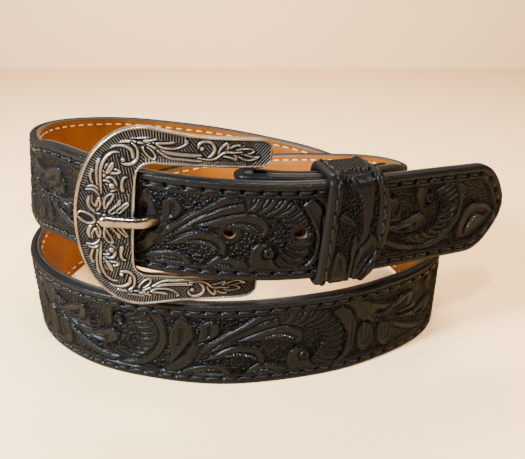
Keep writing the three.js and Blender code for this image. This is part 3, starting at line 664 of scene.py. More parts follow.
def blackLeather(name="blackSaddleLeather", specular=leatherLook["specular"]):
    material, tree, shader, place = newMaterial(name)
    face, worn, deep = (toLinear(leatherLook[key]) for key in ("face", "worn", "deep"))
    high, grainSize = leatherLook["roughHigh"], leatherLook["grain"]
    ground, shine, low, edge = (addNode(tree, "Attribute", {"attribute_name": key}, output="Fac")
                                for key in ("ground", "shine", "low", "edge"))
    patches = addNode(tree, "TexNoise", {}, {"Scale": 1000 / 14, "Detail": 4, "Roughness": 0.55, "Vector": place})
    grain = addNode(tree, "TexNoise", {}, {"Scale": 1000 / (grainSize * 1.6), "Detail": 3, "Roughness": 0.55,
                                           "Vector": place})
    creases = addNode(tree, "TexNoise", {}, {"Scale": 1000 / 3.4, "Detail": 3, "Roughness": 0.55, "Vector": place})
    pores = addNode(tree, "TexVoronoi", {}, {"Scale": 1000 / grainSize, "Vector": place})
    stamp = addNode(tree, "TexVoronoi", {}, {"Scale": 1000 / leatherLook["stipple"], "Vector": place})
    wear = addNode(tree, "MapRange", {}, {0: patches, 1: 0.35, 2: 0.7, 3: 0, 4: 0.45})
    colour = addNode(tree, "Mix", colours, {0: wear, 6: face, 7: worn}, 2)
    colour = addNode(tree, "Mix", colours, {0: addNode(tree, "Math", times, {0: edge, 1: 0.6}), 6: colour, 7: worn}, 2)
    # painted shade: the low mask darkens the stamped ground, cuts, stitch channel and needle holes towards the deep
    # colour
    sunk = addNode(tree, "Math", timesClamped, {0: low, 1: 0.85})
    colour = addNode(tree, "Mix", colours, {0: sunk, 6: colour, 7: deep}, 2)
    tree.links.new(colour, shader.inputs["Base Color"])
    shader.inputs["Specular IOR Level"].default_value = specular
    rough = addNode(tree, "MapRange", {}, {0: patches, 1: 0.3, 2: 0.7, 3: high - 0.06, 4: high + 0.08})
    dull = addNode(tree, "Math", times, {0: ground, 1: leatherLook["roughGround"] - high})
    rough = addNode(tree, "Math", plus, {0: rough, 1: dull})
    waxed = addNode(tree, "Math", times, {0: shine, 1: high - leatherLook["roughRim"]})
    rough = addNode(tree, "Math", minusClamped, {0: rough, 1: waxed})
    slanting = addNode(tree, "LayerWeight", {}, {"Blend": 0.5}, "Facing")  # the wax hazes at a slant
    haze = addNode(tree, "MapRange", {}, {0: slanting, 1: 0.35, 2: 0.75, 3: 0, 4: 0.62})
    tree.links.new(addNode(tree, "Math", plus, {0: rough, 1: haze}), shader.inputs["Roughness"])
    pebbles = addNode(tree, "Math", times, {0: addNode(tree, "Math", minus, {0: 1.0, 1: stamp}), 1: ground})
    normal = None
    for height, depth in ((pebbles, 1.1), (creases, 0.22), (pores, 0.05), (grain, 0.12)):  # depth in millimetres
        before = {} if normal is None else {"Normal": normal}
        normal = addNode(tree, "Bump", {}, {"Strength": 1.0, "Distance": depth / 1000, "Height": height, **before})
    tree.links.new(normal, shader.inputs["Normal"])
    return material


# raw cut leather inside the punched holes: matte brown fibre
def rawLeather():
    material, tree, shader, place = newMaterial("rawCutLeather")
    fibres = addNode(tree, "TexNoise", {}, {"Scale": 1000 / 0.5, "Detail": 4, "Roughness": 0.55, "Vector": place})
    colour = addNode(tree, "Mix", colours, {0: fibres, 6: toLinear("#2e1b0e"), 7: toLinear("#57371c")}, 2)
    tree.links.new(colour, shader.inputs["Base Color"])
    shader.inputs["Roughness"].default_value = 0.85
    normal = addNode(tree, "Bump", {}, {"Strength": 1.0, "Distance": 0.00025, "Height": fibres})
    tree.links.new(normal, shader.inputs["Normal"])
    return material


# smooth tan lining leather: warm and even, a little glossy where handled, dyed black along its edges, with painted
# shade along the stitch groove
def tanLining():
    material, tree, shader, place = newMaterial("tanLiningLeather")
    edge, low = (addNode(tree, "Attribute", {"attribute_name": key}, output="Fac") for key in ("edge", "low"))
    patches = addNode(tree, "TexNoise", {}, {"Scale": 1000 / 22, "Detail": 4, "Roughness": 0.55, "Vector": place})
    fibres = addNode(tree, "TexNoise", {}, {"Scale": 1000 / 1.1, "Detail": 5, "Roughness": 0.55, "Vector": place})
    pores = addNode(tree, "TexVoronoi", {}, {"Scale": 1000 / 0.5, "Vector": place})
    tint = addNode(tree, "MapRange", {}, {0: patches, 1: 0.3, 2: 0.7, 3: 0, 4: 1})
    colour = addNode(tree, "Mix", colours, {0: tint, 6: toLinear("#683600"), 7: toLinear("#844600")}, 2)
    streak = addNode(tree, "MapRange", {}, {0: fibres, 1: 0.35, 2: 0.75, 3: 0, 4: 0.35})
    colour = addNode(tree, "Mix", colours, {0: streak, 6: colour, 7: toLinear("#4c2600")}, 2)
    # painted shade: darker brown along the stitch groove
    paintedGrooveShade = addNode(tree, "Math", timesClamped, {0: low, 1: 0.6})
    colour = addNode(tree, "Mix", colours, {0: paintedGrooveShade, 6: colour, 7: toLinear("#3a1a03")}, 2)
    colour = addNode(tree, "Mix", colours, {0: edge, 6: colour, 7: toLinear("#1c1917")}, 2)
    tree.links.new(colour, shader.inputs["Base Color"])
    rough = addNode(tree, "MapRange", {}, {0: fibres, 1: 0.3, 2: 0.7, 3: 0.42, 4: 0.58})
    tree.links.new(rough, shader.inputs["Roughness"])
    shader.inputs["Specular IOR Level"].default_value = 0.2
    normal = addNode(tree, "Bump", {}, {"Strength": 1.0, "Distance": 0.00004, "Height": pores})
    normal = addNode(tree, "Bump", {}, {"Strength": 1.0, "Distance": 0.0001, "Height": fibres, "Normal": normal})
    tree.links.new(normal, shader.inputs["Normal"])
    return material


# waxed thread: tight twist with a faint sheen
def waxedThread(name, light, dark, rough, specular):
    material, tree, shader, place = newMaterial(name)
    twist = addNode(tree, "TexNoise", {}, {"Scale": 1000 / 0.35, "Detail": 2, "Roughness": 0.55, "Vector": place})
    colour = addNode(tree, "Mix", colours, {0: twist, 6: toLinear(dark), 7: toLinear(light)}, 2)
    tree.links.new(colour, shader.inputs["Base Color"])
    shader.inputs["Roughness"].default_value = rough
    shader.inputs["Specular IOR Level"].default_value = specular
    normal = addNode(tree, "Bump", {}, {"Strength": 1.0, "Distance": 0.00012, "Height": twist})
    tree.links.new(normal, shader.inputs["Normal"])
    return material


# antique cast silver: bright where rubbed, black patina left in the recesses
silverLook = {"bright": "#7b736b", "mid": "#3c3733", "deep": "#050404", "rough": 0.3}


def antiqueSilver(name="antiqueSilver", patina=1.0, rough=silverLook["rough"]):
    material, tree, shader, place = newMaterial(name)
    bright, mid, deep = (toLinear(silverLook[key]) for key in ("bright", "mid", "deep"))
    low = addNode(tree, "Attribute", {"attribute_name": "low"}, output="Fac")
    cloud = addNode(tree, "TexNoise", {}, {"Scale": 1000 / 6, "Detail": 4, "Roughness": 0.55, "Vector": place})
    fine = addNode(tree, "TexNoise", {}, {"Scale": 1000 / 0.5, "Detail": 4, "Roughness": 0.55, "Vector": place})
    pits = addNode(tree, "TexVoronoi", {}, {"Scale": 1000 / 0.7, "Vector": place})
    tone = addNode(tree, "MapRange", {}, {0: cloud, 1: 0.3, 2: 0.75, 3: 0, 4: 0.8})
    colour = addNode(tree, "Mix", colours, {0: tone, 6: bright, 7: mid}, 2)
    sunk = addNode(tree, "MapRange", {}, {0: low, 1: 0.2, 2: 0.75, 3: 0, 4: 1})
    depth = addNode(tree, "Math", timesClamped, {0: sunk, 1: patina})
    colour = addNode(tree, "Mix", colours, {0: depth, 6: colour, 7: deep}, 2)
    tree.links.new(colour, shader.inputs["Base Color"])
    crust = addNode(tree, "Math", times, {0: depth, 1: 0.75})
    tree.links.new(addNode(tree, "Math", minusClamped, {0: 1.0, 1: crust}), shader.inputs["Metallic"])
    shader.inputs["Specular IOR Level"].default_value = 0.12
    wear = addNode(tree, "MapRange", {}, {0: cloud, 1: 0.3, 2: 0.7, 3: rough - 0.05, 4: rough + 0.1})
    matte = addNode(tree, "Math", times, {0: depth, 1: 0.3})
    tree.links.new(addNode(tree, "Math", plusClamped, {0: wear, 1: matte}), shader.inputs["Roughness"])
    normal = addNode(tree, "Bump", {}, {"Strength": 1.0, "Distance": 0.00005, "Height": pits})
    normal = addNode(tree, "Bump", {}, {"Strength": 1.0, "Distance": 0.00003, "Height": fine, "Normal": normal})
    tree.links.new(normal, shader.inputs["Normal"])
    return material


blackFinish = blackLeather()
burnishedFinish = blackLeather("burnishedBlackLeather", 0.45)
rawFinish = rawLeather()
tanFinish = tanLining()
blackThread = waxedThread("blackWaxedThread", "#0e0d0c", "#060505", 0.3, 0.1)
paleThread = waxedThread("paleWaxedThread", "#cf9c6c", "#94623a", 0.6, 0.3)
castFinish = antiqueSilver()
polishedFinish = antiqueSilver("polishedSilver", 0.3, 0.2)
print("materials ready")


# outer strap: tooled leather with rounded edges, as closed bands that meet end to end
edges = {"round": 1.3, "bulge": 0.12}
tongueHole = strap["firstHole"] + 2 * strap["holeSpacing"]
holesMade = [dict(s=strap["firstHole"] + k * strap["holeSpacing"], half=(2.3, 2.3)) for k in range(strap["holeCount"])]
holesMade[2] = dict(s=tongueHole + 2.8, half=(3.3, 2.7))
# the lining's holes have closed up a little; the tongue's own is pulled towards the tip
liningHoles = [dict(hole, half=(0.85, 0.85), lift=2.0) for hole in holesMade]
liningHoles[2] = dict(s=tongueHole - 4.0, half=(6.0, 2.7))


def acrossList(cell):  # fine by the edges, even between, with a line of points on the middle
    rim = np.array([0, 0.06, 0.2, 0.42, 0.72, 1.05])
    count = int(round((strap["width"] / 2 - 1.4) / cell))
    half = np.concatenate([rim, strap["width"] / 2 - np.arange(count, -1, -1) * (strap["width"] / 2 - 1.4) / count])
    return np.concatenate([half, strap["width"] - half[::-1][1:]])


def holeWarp(s, v, cell, holes):  # moves grid points so that a block of cells becomes each hole
    removed = np.zeros(s.shape, bool)
    s, v = s.copy(), v.copy()
    for hole in holes:
        half = np.array(hole["half"])
        block = np.maximum(2, np.round(half * 0.86 / np.array(cell)))
        reach = block * np.array(cell)
        middle = strap["width"] / 2 + hole.get("lift", 0.0)
        x, y = s - hole["s"], v - middle
        qx, qy = x / reach[0], y / reach[1]
        m = np.maximum(np.abs(qx), np.abs(qy))
        rho = np.maximum(np.hypot(qx, qy), 1e-9)
        touched = (m > 1e-6) & (m < 2.2)
        t = clamp((m - 1) / 1.2)
        ex, ey = qx / rho * half[0], qy / rho * half[1]
        s = np.where(touched, hole["s"] + ex * (1 - t) + x * t, s)
        v = np.where(touched, middle + ey * (1 - t) + y * t, v)
        removed |= m < 1 - 1e-3
    return s, v, removed


def bandOf(name, sLine, vCell, holes=(), slotOpen=False):
    vLine = acrossList(vCell)
    s, v = np.meshgrid(sLine, vLine, indexing="ij")
    cell = (sLine[-1] - sLine[-2], vLine[len(vLine) // 2 + 1] - vLine[len(vLine) // 2])
    s, v, removed = holeWarp(s, v, cell, holes)
    share = tipShare(s)
    vAt = strap["width"] / 2 + (v - strap["width"] / 2) * share
    rim = rimDistance(s, vAt)
    height, ground, shine, dips = outerHeight(s, vAt)
    edge = np.exp(-(rim / 1.1) ** 2)
    soft = edges["round"]
    drop = soft - np.sqrt(np.maximum(soft ** 2 - (soft - np.minimum(rim, soft)) ** 2, 0))
    depth = drop - height * clamp(rim / 1.5)
    front = placeOn([w.reshape(s.shape + (3,)) for w in stationsAt(s.ravel())], vAt, depth)
    # sides and back close the band
    side = np.array([(edges["bulge"], soft + 0.4), (edges["bulge"], strap["outer"] - 0.3), (0, strap["outer"] + 0.1)])
    backLine = np.linspace(strap["width"] - 0.5, 0.5, 6)
    slotLow, slotHigh = 0.0, 0.0
    if slotOpen:
        slotLow, slotHigh = (vLine[np.argmin(np.abs(vLine - (strap["width"] / 2 + 1.6 + k * 3.3)))] for k in (-1, 1))
        backLine = np.array([strap["width"] - 0.5, 30.0, slotHigh, slotLow, 8.0, 0.5])
    rest = ([(strap["width"] + out, deep) for out, deep in side] + [(at, strap["outer"] + 0.1) for at in backLine]
            + [(-out, deep) for out, deep in side[::-1]])
    restV, restDepth = np.array(rest).T
    sBack, vBack = np.meshgrid(sLine, restV, indexing="ij")
    vBack = strap["width"] / 2 + (vBack - strap["width"] / 2) * tipShare(sBack)
    lineStations = stationsAt(sLine)
    back = placeOn([w[:, None, :] for w in lineStations], vBack, np.broadcast_to(restDepth, vBack.shape))
    points = np.concatenate([front, back], 1)
    rows, columns = points.shape[:2]
    faces, i, j = quadGrid(rows, columns, closedColumns=True)
    gone = np.concatenate([removed, np.zeros((rows, len(restV)), bool)], 1).ravel()
    keep = ~gone[faces].any(1)
    for hole in holes:  # the hidden back stays open behind each hole
        near = np.abs(sLine[i] - hole["s"]) < hole["half"][0] + 1
        keep &= ~(near & (j >= len(vLine) + 2) & (j < columns - 4))
    walls = []
    if slotOpen:
        low, high = np.argmin(np.abs(vLine - slotLow)), np.argmin(np.abs(vLine - slotHigh))
        inSlot = (sLine[i] > strapLength - 8) & (sLine[i] < strapLength + foldLength + 8)
        inSlot &= sLine[np.minimum(i + 1, rows - 1)] < strapLength + foldLength + 8
        backHigh = len(vLine) + len(side) + 2
        keep &= ~(inSlot & (((j >= low) & (j < high)) | (j == backHigh)))
        for k in np.unique(i[inSlot]):
            for f, b in ((low, backHigh + 1), (high, backHigh)):
                walls.append((k * columns + f, k * columns + b, (k + 1) * columns + b, (k + 1) * columns + f))
    faces = faces[keep]
    materials = np.zeros(len(faces), int)
    normals = gridNormals(points, True)
    if (normals[:, len(vLine) // 2] * lineStations[2]).sum() < 0:
        normals = -normals
    normals = normals.reshape(-1, 3)
    lists = [faces.tolist()]
    allPoints = [points.reshape(-1, 3)]
    zero = np.zeros((rows, len(restV)))
    # low: painted shade, darker with depth in the tooled recesses, the stitch channel and the needle holes
    masks = {"ground": np.concatenate([ground, zero], 1).ravel(), "shine": np.concatenate([shine, zero], 1).ravel(),
             "low": np.concatenate([clamp(-height / 0.8) * clamp(rim / 2) + dips, zero], 1).ravel(),
             "edge": np.concatenate([edge, zero + 0.8], 1).ravel()}
    extra, extraFaces, extraNormals = [], [], []
    flat = points.reshape(-1, 3)
    for hole in holes:  # the cut wall of each hole
        half = np.array(hole["half"])
        block = np.maximum(2, np.round(half * 0.86 / np.array(cell))).astype(int)
        ci = int(np.argmin(np.abs(sLine - hole["s"])))
        cj = int(np.argmin(np.abs(vLine - strap["width"] / 2)))
        loop = ([(ci - block[0] + k, cj - block[1]) for k in range(2 * block[0])]
                + [(ci + block[0], cj - block[1] + k) for k in range(2 * block[1])]
                + [(ci + block[0] - k, cj + block[1]) for k in range(2 * block[0])]
                + [(ci - block[0], cj + block[1] - k) for k in range(2 * block[1])])
        li, lj = np.array(loop).T
        ls, lv = s[li, lj], v[li, lj]
        holeStations = stationsAt(ls)
        top = depth[li, lj]
        inward = np.stack([hole["s"] - ls, strap["width"] / 2 - lv], -1)
        inward /= np.linalg.norm(inward, axis=1, keepdims=True)
        levels = [(0.0, 0.0), (0.06, 0.12), (0.12, 0.45), (0.10, 1.5), (0.0, None)]
        start = len(flat) + sum(len(e) for e in extra)
        for inset, below in levels:
            deep = top + below if below is not None else np.full(len(ls), strap["outer"] + 0.2)
            movedS, movedV = ls + inward[:, 0] * inset, lv + inward[:, 1] * inset
            extra.append(placeOn(stationsAt(movedS), movedV, deep))
        count = len(loop)
        for level in range(len(levels) - 1):
            a = start + level * count + np.arange(count)
            b = start + level * count + (np.arange(count) + 1) % count
            extraFaces.append(np.stack([a, a + count, b + count, b], -1))
            materials = np.concatenate([materials, np.full(count, 0 if level < 2 or hole is holesMade[2] else 1)])
        towards = holeStations[1] * inward[:, :1] + holeStations[3] * inward[:, 1:]
        for level in range(len(levels)):
            extraNormals.append(holeStations[2] if level == 0 else unit(towards + holeStations[2] * (level == 1)))
    if extra:
        added = np.concatenate(extra)
        allPoints.append(added)
        lists += [f.tolist() for f in extraFaces]
        normals = np.concatenate([normals, np.concatenate(extraNormals)])
        for key in masks:
            masks[key] = np.concatenate([masks[key], np.full(len(added), 1.0 if key == "shine" else 0.0)])
    faceList = [face for group in lists for face in group] + walls
    caps = []
    if sLine[0] < 1:
        caps.append(list(range(columns))[::-1])
    if sLine[-1] >= endLength - 1e-6:
        caps.append([(rows - 1) * columns + k for k in range(columns)])
    materials = np.concatenate([materials, np.zeros(len(walls) + len(caps), int)])
    return addPiece(name, np.concatenate(allPoints), faceList + caps, [blackFinish, rawFinish],
                    ["outer_strap"], materials, masks, normals)


def evenly(start, end, cell):
    return np.linspace(start, end, int(round((end - start) / cell)) + 1)


# the front band has a line of its grid on every hole
frontLine = strap["firstHole"] + np.arange(-235, 365) * strap["holeSpacing"] / 65
frontLine = np.concatenate([[0.02, 0.1, 0.22, 0.4, 0.7, 1.05], frontLine])
strapBands = [  # name, lines across, cell across, holes, slot
    ("strapFront", frontLine, 0.42, holesMade, False),
    ("strapBackLoop", evenly(frontLine[-1], 600.0, 0.75), 0.75, (), False),
    ("strapBase", evenly(600.0, 860.0, 0.45), 0.45, (), False),
    ("strapFoldedEnd", evenly(860.0, endLength, 0.8), 0.7, (), True),
]
for name, sLine, vCell, holes, slotOpen in strapBands:
    bandOf(name, sLine, vCell, holes, slotOpen)
    print("strap:", name)


# lining: smooth tan leather glued behind the tooled one, sewn through along both edges
liningEnd = strapLength - 6.45
liningLook = {"top": 2.95, "round": 0.9, "cell": 0.95}


def liningBand():
    cellS = strap["holeSpacing"] / 26
    sLine = strap["firstHole"] + np.arange(-94, int((liningEnd - strap["firstHole"]) / cellS)) * cellS
    sLine = np.concatenate([[0.02, 0.15, 0.5, 1.0], sLine, [liningEnd]])
    rim = np.array([0, 0.1, 0.35, 0.8, 1.7, 2.6, 3.3, 4.0, 5.0, 7.0, 10.0, 13.0])
    middle = strap["width"] / 2 + np.arange(-5, 6) * 1.0
    vLine = np.concatenate([rim, middle, strap["width"] - rim[::-1]])
    s, v = np.meshgrid(sLine, vLine, indexing="ij")
    s, v, removed = holeWarp(s, v, (cellS, 1.0), liningHoles)
    vAt = strap["width"] / 2 + (v - strap["width"] / 2) * tipShare(s)
    inner = strap["outer"] + strap["gap"] + strap["lining"]
    gap = rimDistance(s, vAt)
    soft = liningLook["round"]
    drop = soft - np.sqrt(np.maximum(soft ** 2 - (soft - np.minimum(gap, soft)) ** 2, 0))
    dips = 0.35 * np.exp(-((gap - pattern["stitchIn"]) / 0.8) ** 2)
    depth = inner - drop - dips
    flat = [w.reshape(s.shape + (3,)) for w in stationsAt(s.ravel())]
    face = placeOn(flat, vAt, depth)
    glued = liningLook["top"]
    top = [(strap["width"] + 0.1, inner - soft - 0.2), (strap["width"] - 0.1, glued), (30, glued), (8, glued),
           (0.1, glued), (-0.1, inner - soft - 0.2)]
    restV, restDepth = np.array(top).T
    sBack, vBack = np.meshgrid(sLine, restV, indexing="ij")
    vBack = strap["width"] / 2 + (vBack - strap["width"] / 2) * tipShare(sBack)
    back = placeOn([w[:, None, :] for w in stationsAt(sLine)], vBack, np.broadcast_to(restDepth, vBack.shape))
    points = np.concatenate([face, back], 1)
    rows, columns = points.shape[:2]
    faces, i, j = quadGrid(rows, columns, closedColumns=True)
    gone = np.concatenate([removed, np.zeros((rows, len(top)), bool)], 1).ravel()
    keep = ~gone[faces].any(1)
    extra, extraFaces = [], []
    for hole in liningHoles:
        keep &= ~((np.abs(sLine[i] - hole["s"]) < hole["half"][0] + 1) & (j == len(vLine) + 2))
        block = np.maximum(2, np.round(np.array(hole["half"]) * 0.86 / np.array([cellS, 1.0]))).astype(int)
        ci = int(np.argmin(np.abs(sLine - hole["s"])))
        cj = int(np.argmin(np.abs(vLine - strap["width"] / 2 - hole.get("lift", 0.0))))
        loop = ([(ci - block[0] + k, cj - block[1]) for k in range(2 * block[0])]
                + [(ci + block[0], cj - block[1] + k) for k in range(2 * block[1])]
                + [(ci + block[0] - k, cj + block[1]) for k in range(2 * block[0])]
                + [(ci - block[0], cj + block[1] - k) for k in range(2 * block[1])])
        li, lj = np.array(loop).T
        count, start = len(loop), rows * columns + sum(len(e) for e in extra)
        for deep in (inner - 0.02, inner - 0.5, liningLook["top"]):
            extra.append(placeOn(stationsAt(s[li, lj]), v[li, lj], np.full(count, deep)))
        for level in range(2):
            a = start + level * count + np.arange(count)
            b = start + level * count + (np.arange(count) + 1) % count
            extraFaces.append(np.stack([a, b, b + count, a + count], -1))
    faces = faces[keep][:, ::-1]
    materials = np.concatenate([np.zeros(len(faces), int), np.ones(sum(len(f) for f in extraFaces), int), [0, 0]])
    faceList = faces.tolist() + [f for group in extraFaces for f in group.tolist()]
    faceList += [list(range(columns)), [(rows - 1) * columns + k for k in range(columns)][::-1]]
    added = np.concatenate(extra)
    edge = np.exp(-(np.maximum(gap - 0.25, 0) / 0.55) ** 2)
    # low: painted shade along the stitch groove
    masks = {"edge": np.concatenate([edge, np.ones((rows, len(top)))], 1).ravel(),
             "low": np.concatenate([dips * 2, np.zeros((rows, len(top)))], 1).ravel()}
    masks = {key: np.concatenate([values, np.zeros(len(added))]) for key, values in masks.items()}
    return addPiece("liningBand", np.concatenate([points.reshape(-1, 3), added]), faceList, [tanFinish, rawFinish],
                    ["lining"], materials, masks)


liningBand()
print("lining made")


# stitches: one thread on each side of the leather, from hole to hole
def threadRun(name, centres, headings, sides, fronts, length, radius, finish, node, bow=0.5):
    rings, spokes = 7, 6
    along = np.linspace(-1, 1, rings)
    girth = np.sqrt(np.maximum(1 - along ** 4, 0.02))
    angle = np.arange(spokes) / spokes * 2 * math.pi
    count = len(centres)
    points = (centres[:, None, None] + headings[:, None, None] * (along * length / 2)[None, :, None, None]
              + sides[:, None, None] * (radius * girth[:, None] * np.cos(angle)).reshape(1, rings, spokes, 1)
              + fronts[:, None, None] * (radius * girth[:, None] * np.sin(angle)
                                         - bow * along[:, None] ** 2).reshape(1, rings, spokes, 1))
    one, _, _ = quadGrid(rings, spokes, closedColumns=True)
    faces = (one[None] + (np.arange(count) * rings * spokes)[:, None, None]).reshape(-1, 4).tolist()
    for k in range(count):
        base = k * rings * spokes
        faces += [list(range(base, base + spokes))[::-1],
                  list(range(base + (rings - 1) * spokes, base + rings * spokes))]
    return addPiece(name, points.reshape(-1, 3), faces, [finish], [node])


threads = {"radius": 0.62, "short": 1.7, "paleRadius": 0.55}


def strapStitches(side, name, finish, node, depthAt, stop, radius):
    centres, headings, sides, fronts, lengths = [], [], [], [], []
    for row in needleHoles:
        row = row[row[:, 0] < stop]
        a, b = row[:-1], row[1:]
        pa = placeOn(stationsAt(a[:, 0]), a[:, 1], np.full(len(a), depthAt))
        pb = placeOn(stationsAt(b[:, 0]), b[:, 1], np.full(len(b), depthAt))
        heading = pb - pa
        lengths.append(np.linalg.norm(heading, axis=1))
        heading = unit(heading)
        out = stationsAt((a[:, 0] + b[:, 0]) / 2)[2] * side
        centres.append((pa + pb) / 2)
        headings.append(heading)
        across = unit(np.cross(heading, out))
        sides.append(across)
        fronts.append(unit(np.cross(across, heading)))
    centres, headings, sides, fronts, lengths = map(np.concatenate, (centres, headings, sides, fronts, lengths))
    fine = lengths > pattern["stitchPitch"] * 0.55
    return threadRun(name, centres[fine], headings[fine], sides[fine], fronts[fine],
                     float(np.median(lengths)) - threads["short"], radius, finish, node)


strapStitches(1, "strapStitches", blackThread, "outer_strap", 0.25, endLength - 4, threads["radius"])
strapStitches(-1, "liningStitches", paleThread, "lining",
              strap["outer"] + strap["gap"] + strap["lining"] - 0.15, liningEnd - 4, threads["paleRadius"])
print("stitches sewn")


# seed dots pressed up inside the leaves
def seedDots():
    spots = []

    def rowSpots(line):
        steps = np.concatenate([[0], np.cumsum(np.linalg.norm(np.diff(line, axis=0), axis=1))])
        marks = np.arange(0.2, steps[-1], 1.15)
        return np.stack([np.interp(marks, steps, line[:, 0]), np.interp(marks, steps, line[:, 1])], -1)
    fine = np.arange(0, strapLength, 0.5)
    place = patternPlace(fine)
    for line in seedRows:
        for turn in range(-2, 10):
            row = rowSpots(line) + np.array([turn * pattern["period"], 0])
            keep = (row[:, 0] > place[0]) & (row[:, 0] < place[-1])
            row = row[keep]
            s = np.interp(row[:, 0], place, fine)
            spots.append(np.stack([s, row[:, 1]], -1)[(s > tipEnd) & (s < 870)])
    spots.append(rowSpots(tipSeeds))
    spots = np.concatenate(spots)
    height = outerHeight(spots[:, 0], spots[:, 1])[0]
    foot, along, out, up = stationsAt(spots[:, 0])
    centres = foot + up * spots[:, 1:] + out * (height - 0.02)[:, None]
    spokes, levels = 8, [(1.0, -0.15), (0.95, 0.2), (0.7, 0.55), (0.3, 0.75)]
    angle = np.arange(spokes) / spokes * 2 * math.pi
    points = []
    for wide, tall in levels:
        for a in angle:
            points.append(centres + (along * math.cos(a) + up * math.sin(a)) * 0.55 * wide + out * 0.75 * tall)
    points.append(centres + out * 0.6)
    points = np.stack(points, 1)
    each = points.shape[1]
    one = quadGrid(len(levels), spokes, closedColumns=True)[0].tolist()
    faces = []
    for k in range(len(centres)):
        base = k * each
        faces += [[q + base for q in quad][::-1] for quad in one]
        last = base + (len(levels) - 1) * spokes
        faces += [[last + m, last + (m + 1) % spokes, base + each - 1][::-1] for m in range(spokes)]
        faces.append([base + m for m in range(spokes)])
    addPiece("seedDots", points.reshape(-1, 3), faces, [burnishedFinish], ["outer_strap"], None,
             {"shine": np.full(points.shape[0] * each, 1.0)})


seedDots()
print("seed dots made")


# buckle: a C-shaped cast plate in front of the bar; along from the bar to the left, rise from its middle
buckle = {"length": 66.6, "height": 67.6, "opening": 42.0, "thickness": 3.2, "front": 2.0, "bow": 150.0,
          "turnOut": 13.6, "armEnd": 7.2, "lift": 1.6, "bar": 2.0, "seat": 3.0, "edge": 0.6, "field": 0.8,
          "roll": 2.5, "rollAt": 45.0}
barStation = [w[0] for w in stationsAt(np.array([strapLength - 1e-6]))]
barFoot, barAlong, barOut, barUp = barStation
turnOut = math.radians(buckle["turnOut"])
buckleMiddle = barFoot + barUp * (strap["width"] / 2 + buckle["lift"]) - barOut * strap["fold"]
buckleAlong = barAlong * math.cos(turnOut) + barOut * math.sin(turnOut)
buckleFront = barOut * math.cos(turnOut) - barAlong * math.sin(turnOut)


def onBuckle(along, rise, front):
    along, rise, front = (np.asarray(w, float)[..., None] for w in (along, rise, front))
    return buckleMiddle + buckleAlong * along + barUp * rise + buckleFront * front


def plateFront(along):
    return buckle["front"] - np.asarray(along) ** 2 / (2 * buckle["bow"])


# upper half from the arm's end to the left side: outer and inner edge as shares of length and height
frameRows = [
    (0.000, 0.405, 0.000, 0.370), (0.017, 0.441, 0.017, 0.334), (0.056, 0.463, 0.056, 0.312),
    (0.110, 0.468, 0.110, 0.310), (0.300, 0.468, 0.290, 0.310), (0.450, 0.474, 0.440, 0.311),
    (0.570, 0.490, 0.560, 0.311), (0.670, 0.500, 0.635, 0.310), (0.770, 0.477, 0.672, 0.295),
    (0.845, 0.425, 0.693, 0.266), (0.912, 0.347, 0.700, 0.222), (0.961, 0.244, 0.702, 0.163),
    (0.990, 0.124, 0.703, 0.081), (1.000, 0.000, 0.703, 0.000),
]
innerShare = buckle["opening"] / buckle["height"] / 0.62
half = [(-buckle["armEnd"] + a * buckle["length"], b * buckle["height"], -buckle["armEnd"] + c * buckle["length"],
         d * innerShare * buckle["height"]) for a, b, c, d in frameRows]
wholeRows = np.array(half + [(a, -b, c, -d) for a, b, c, d in half[-2::-1]])

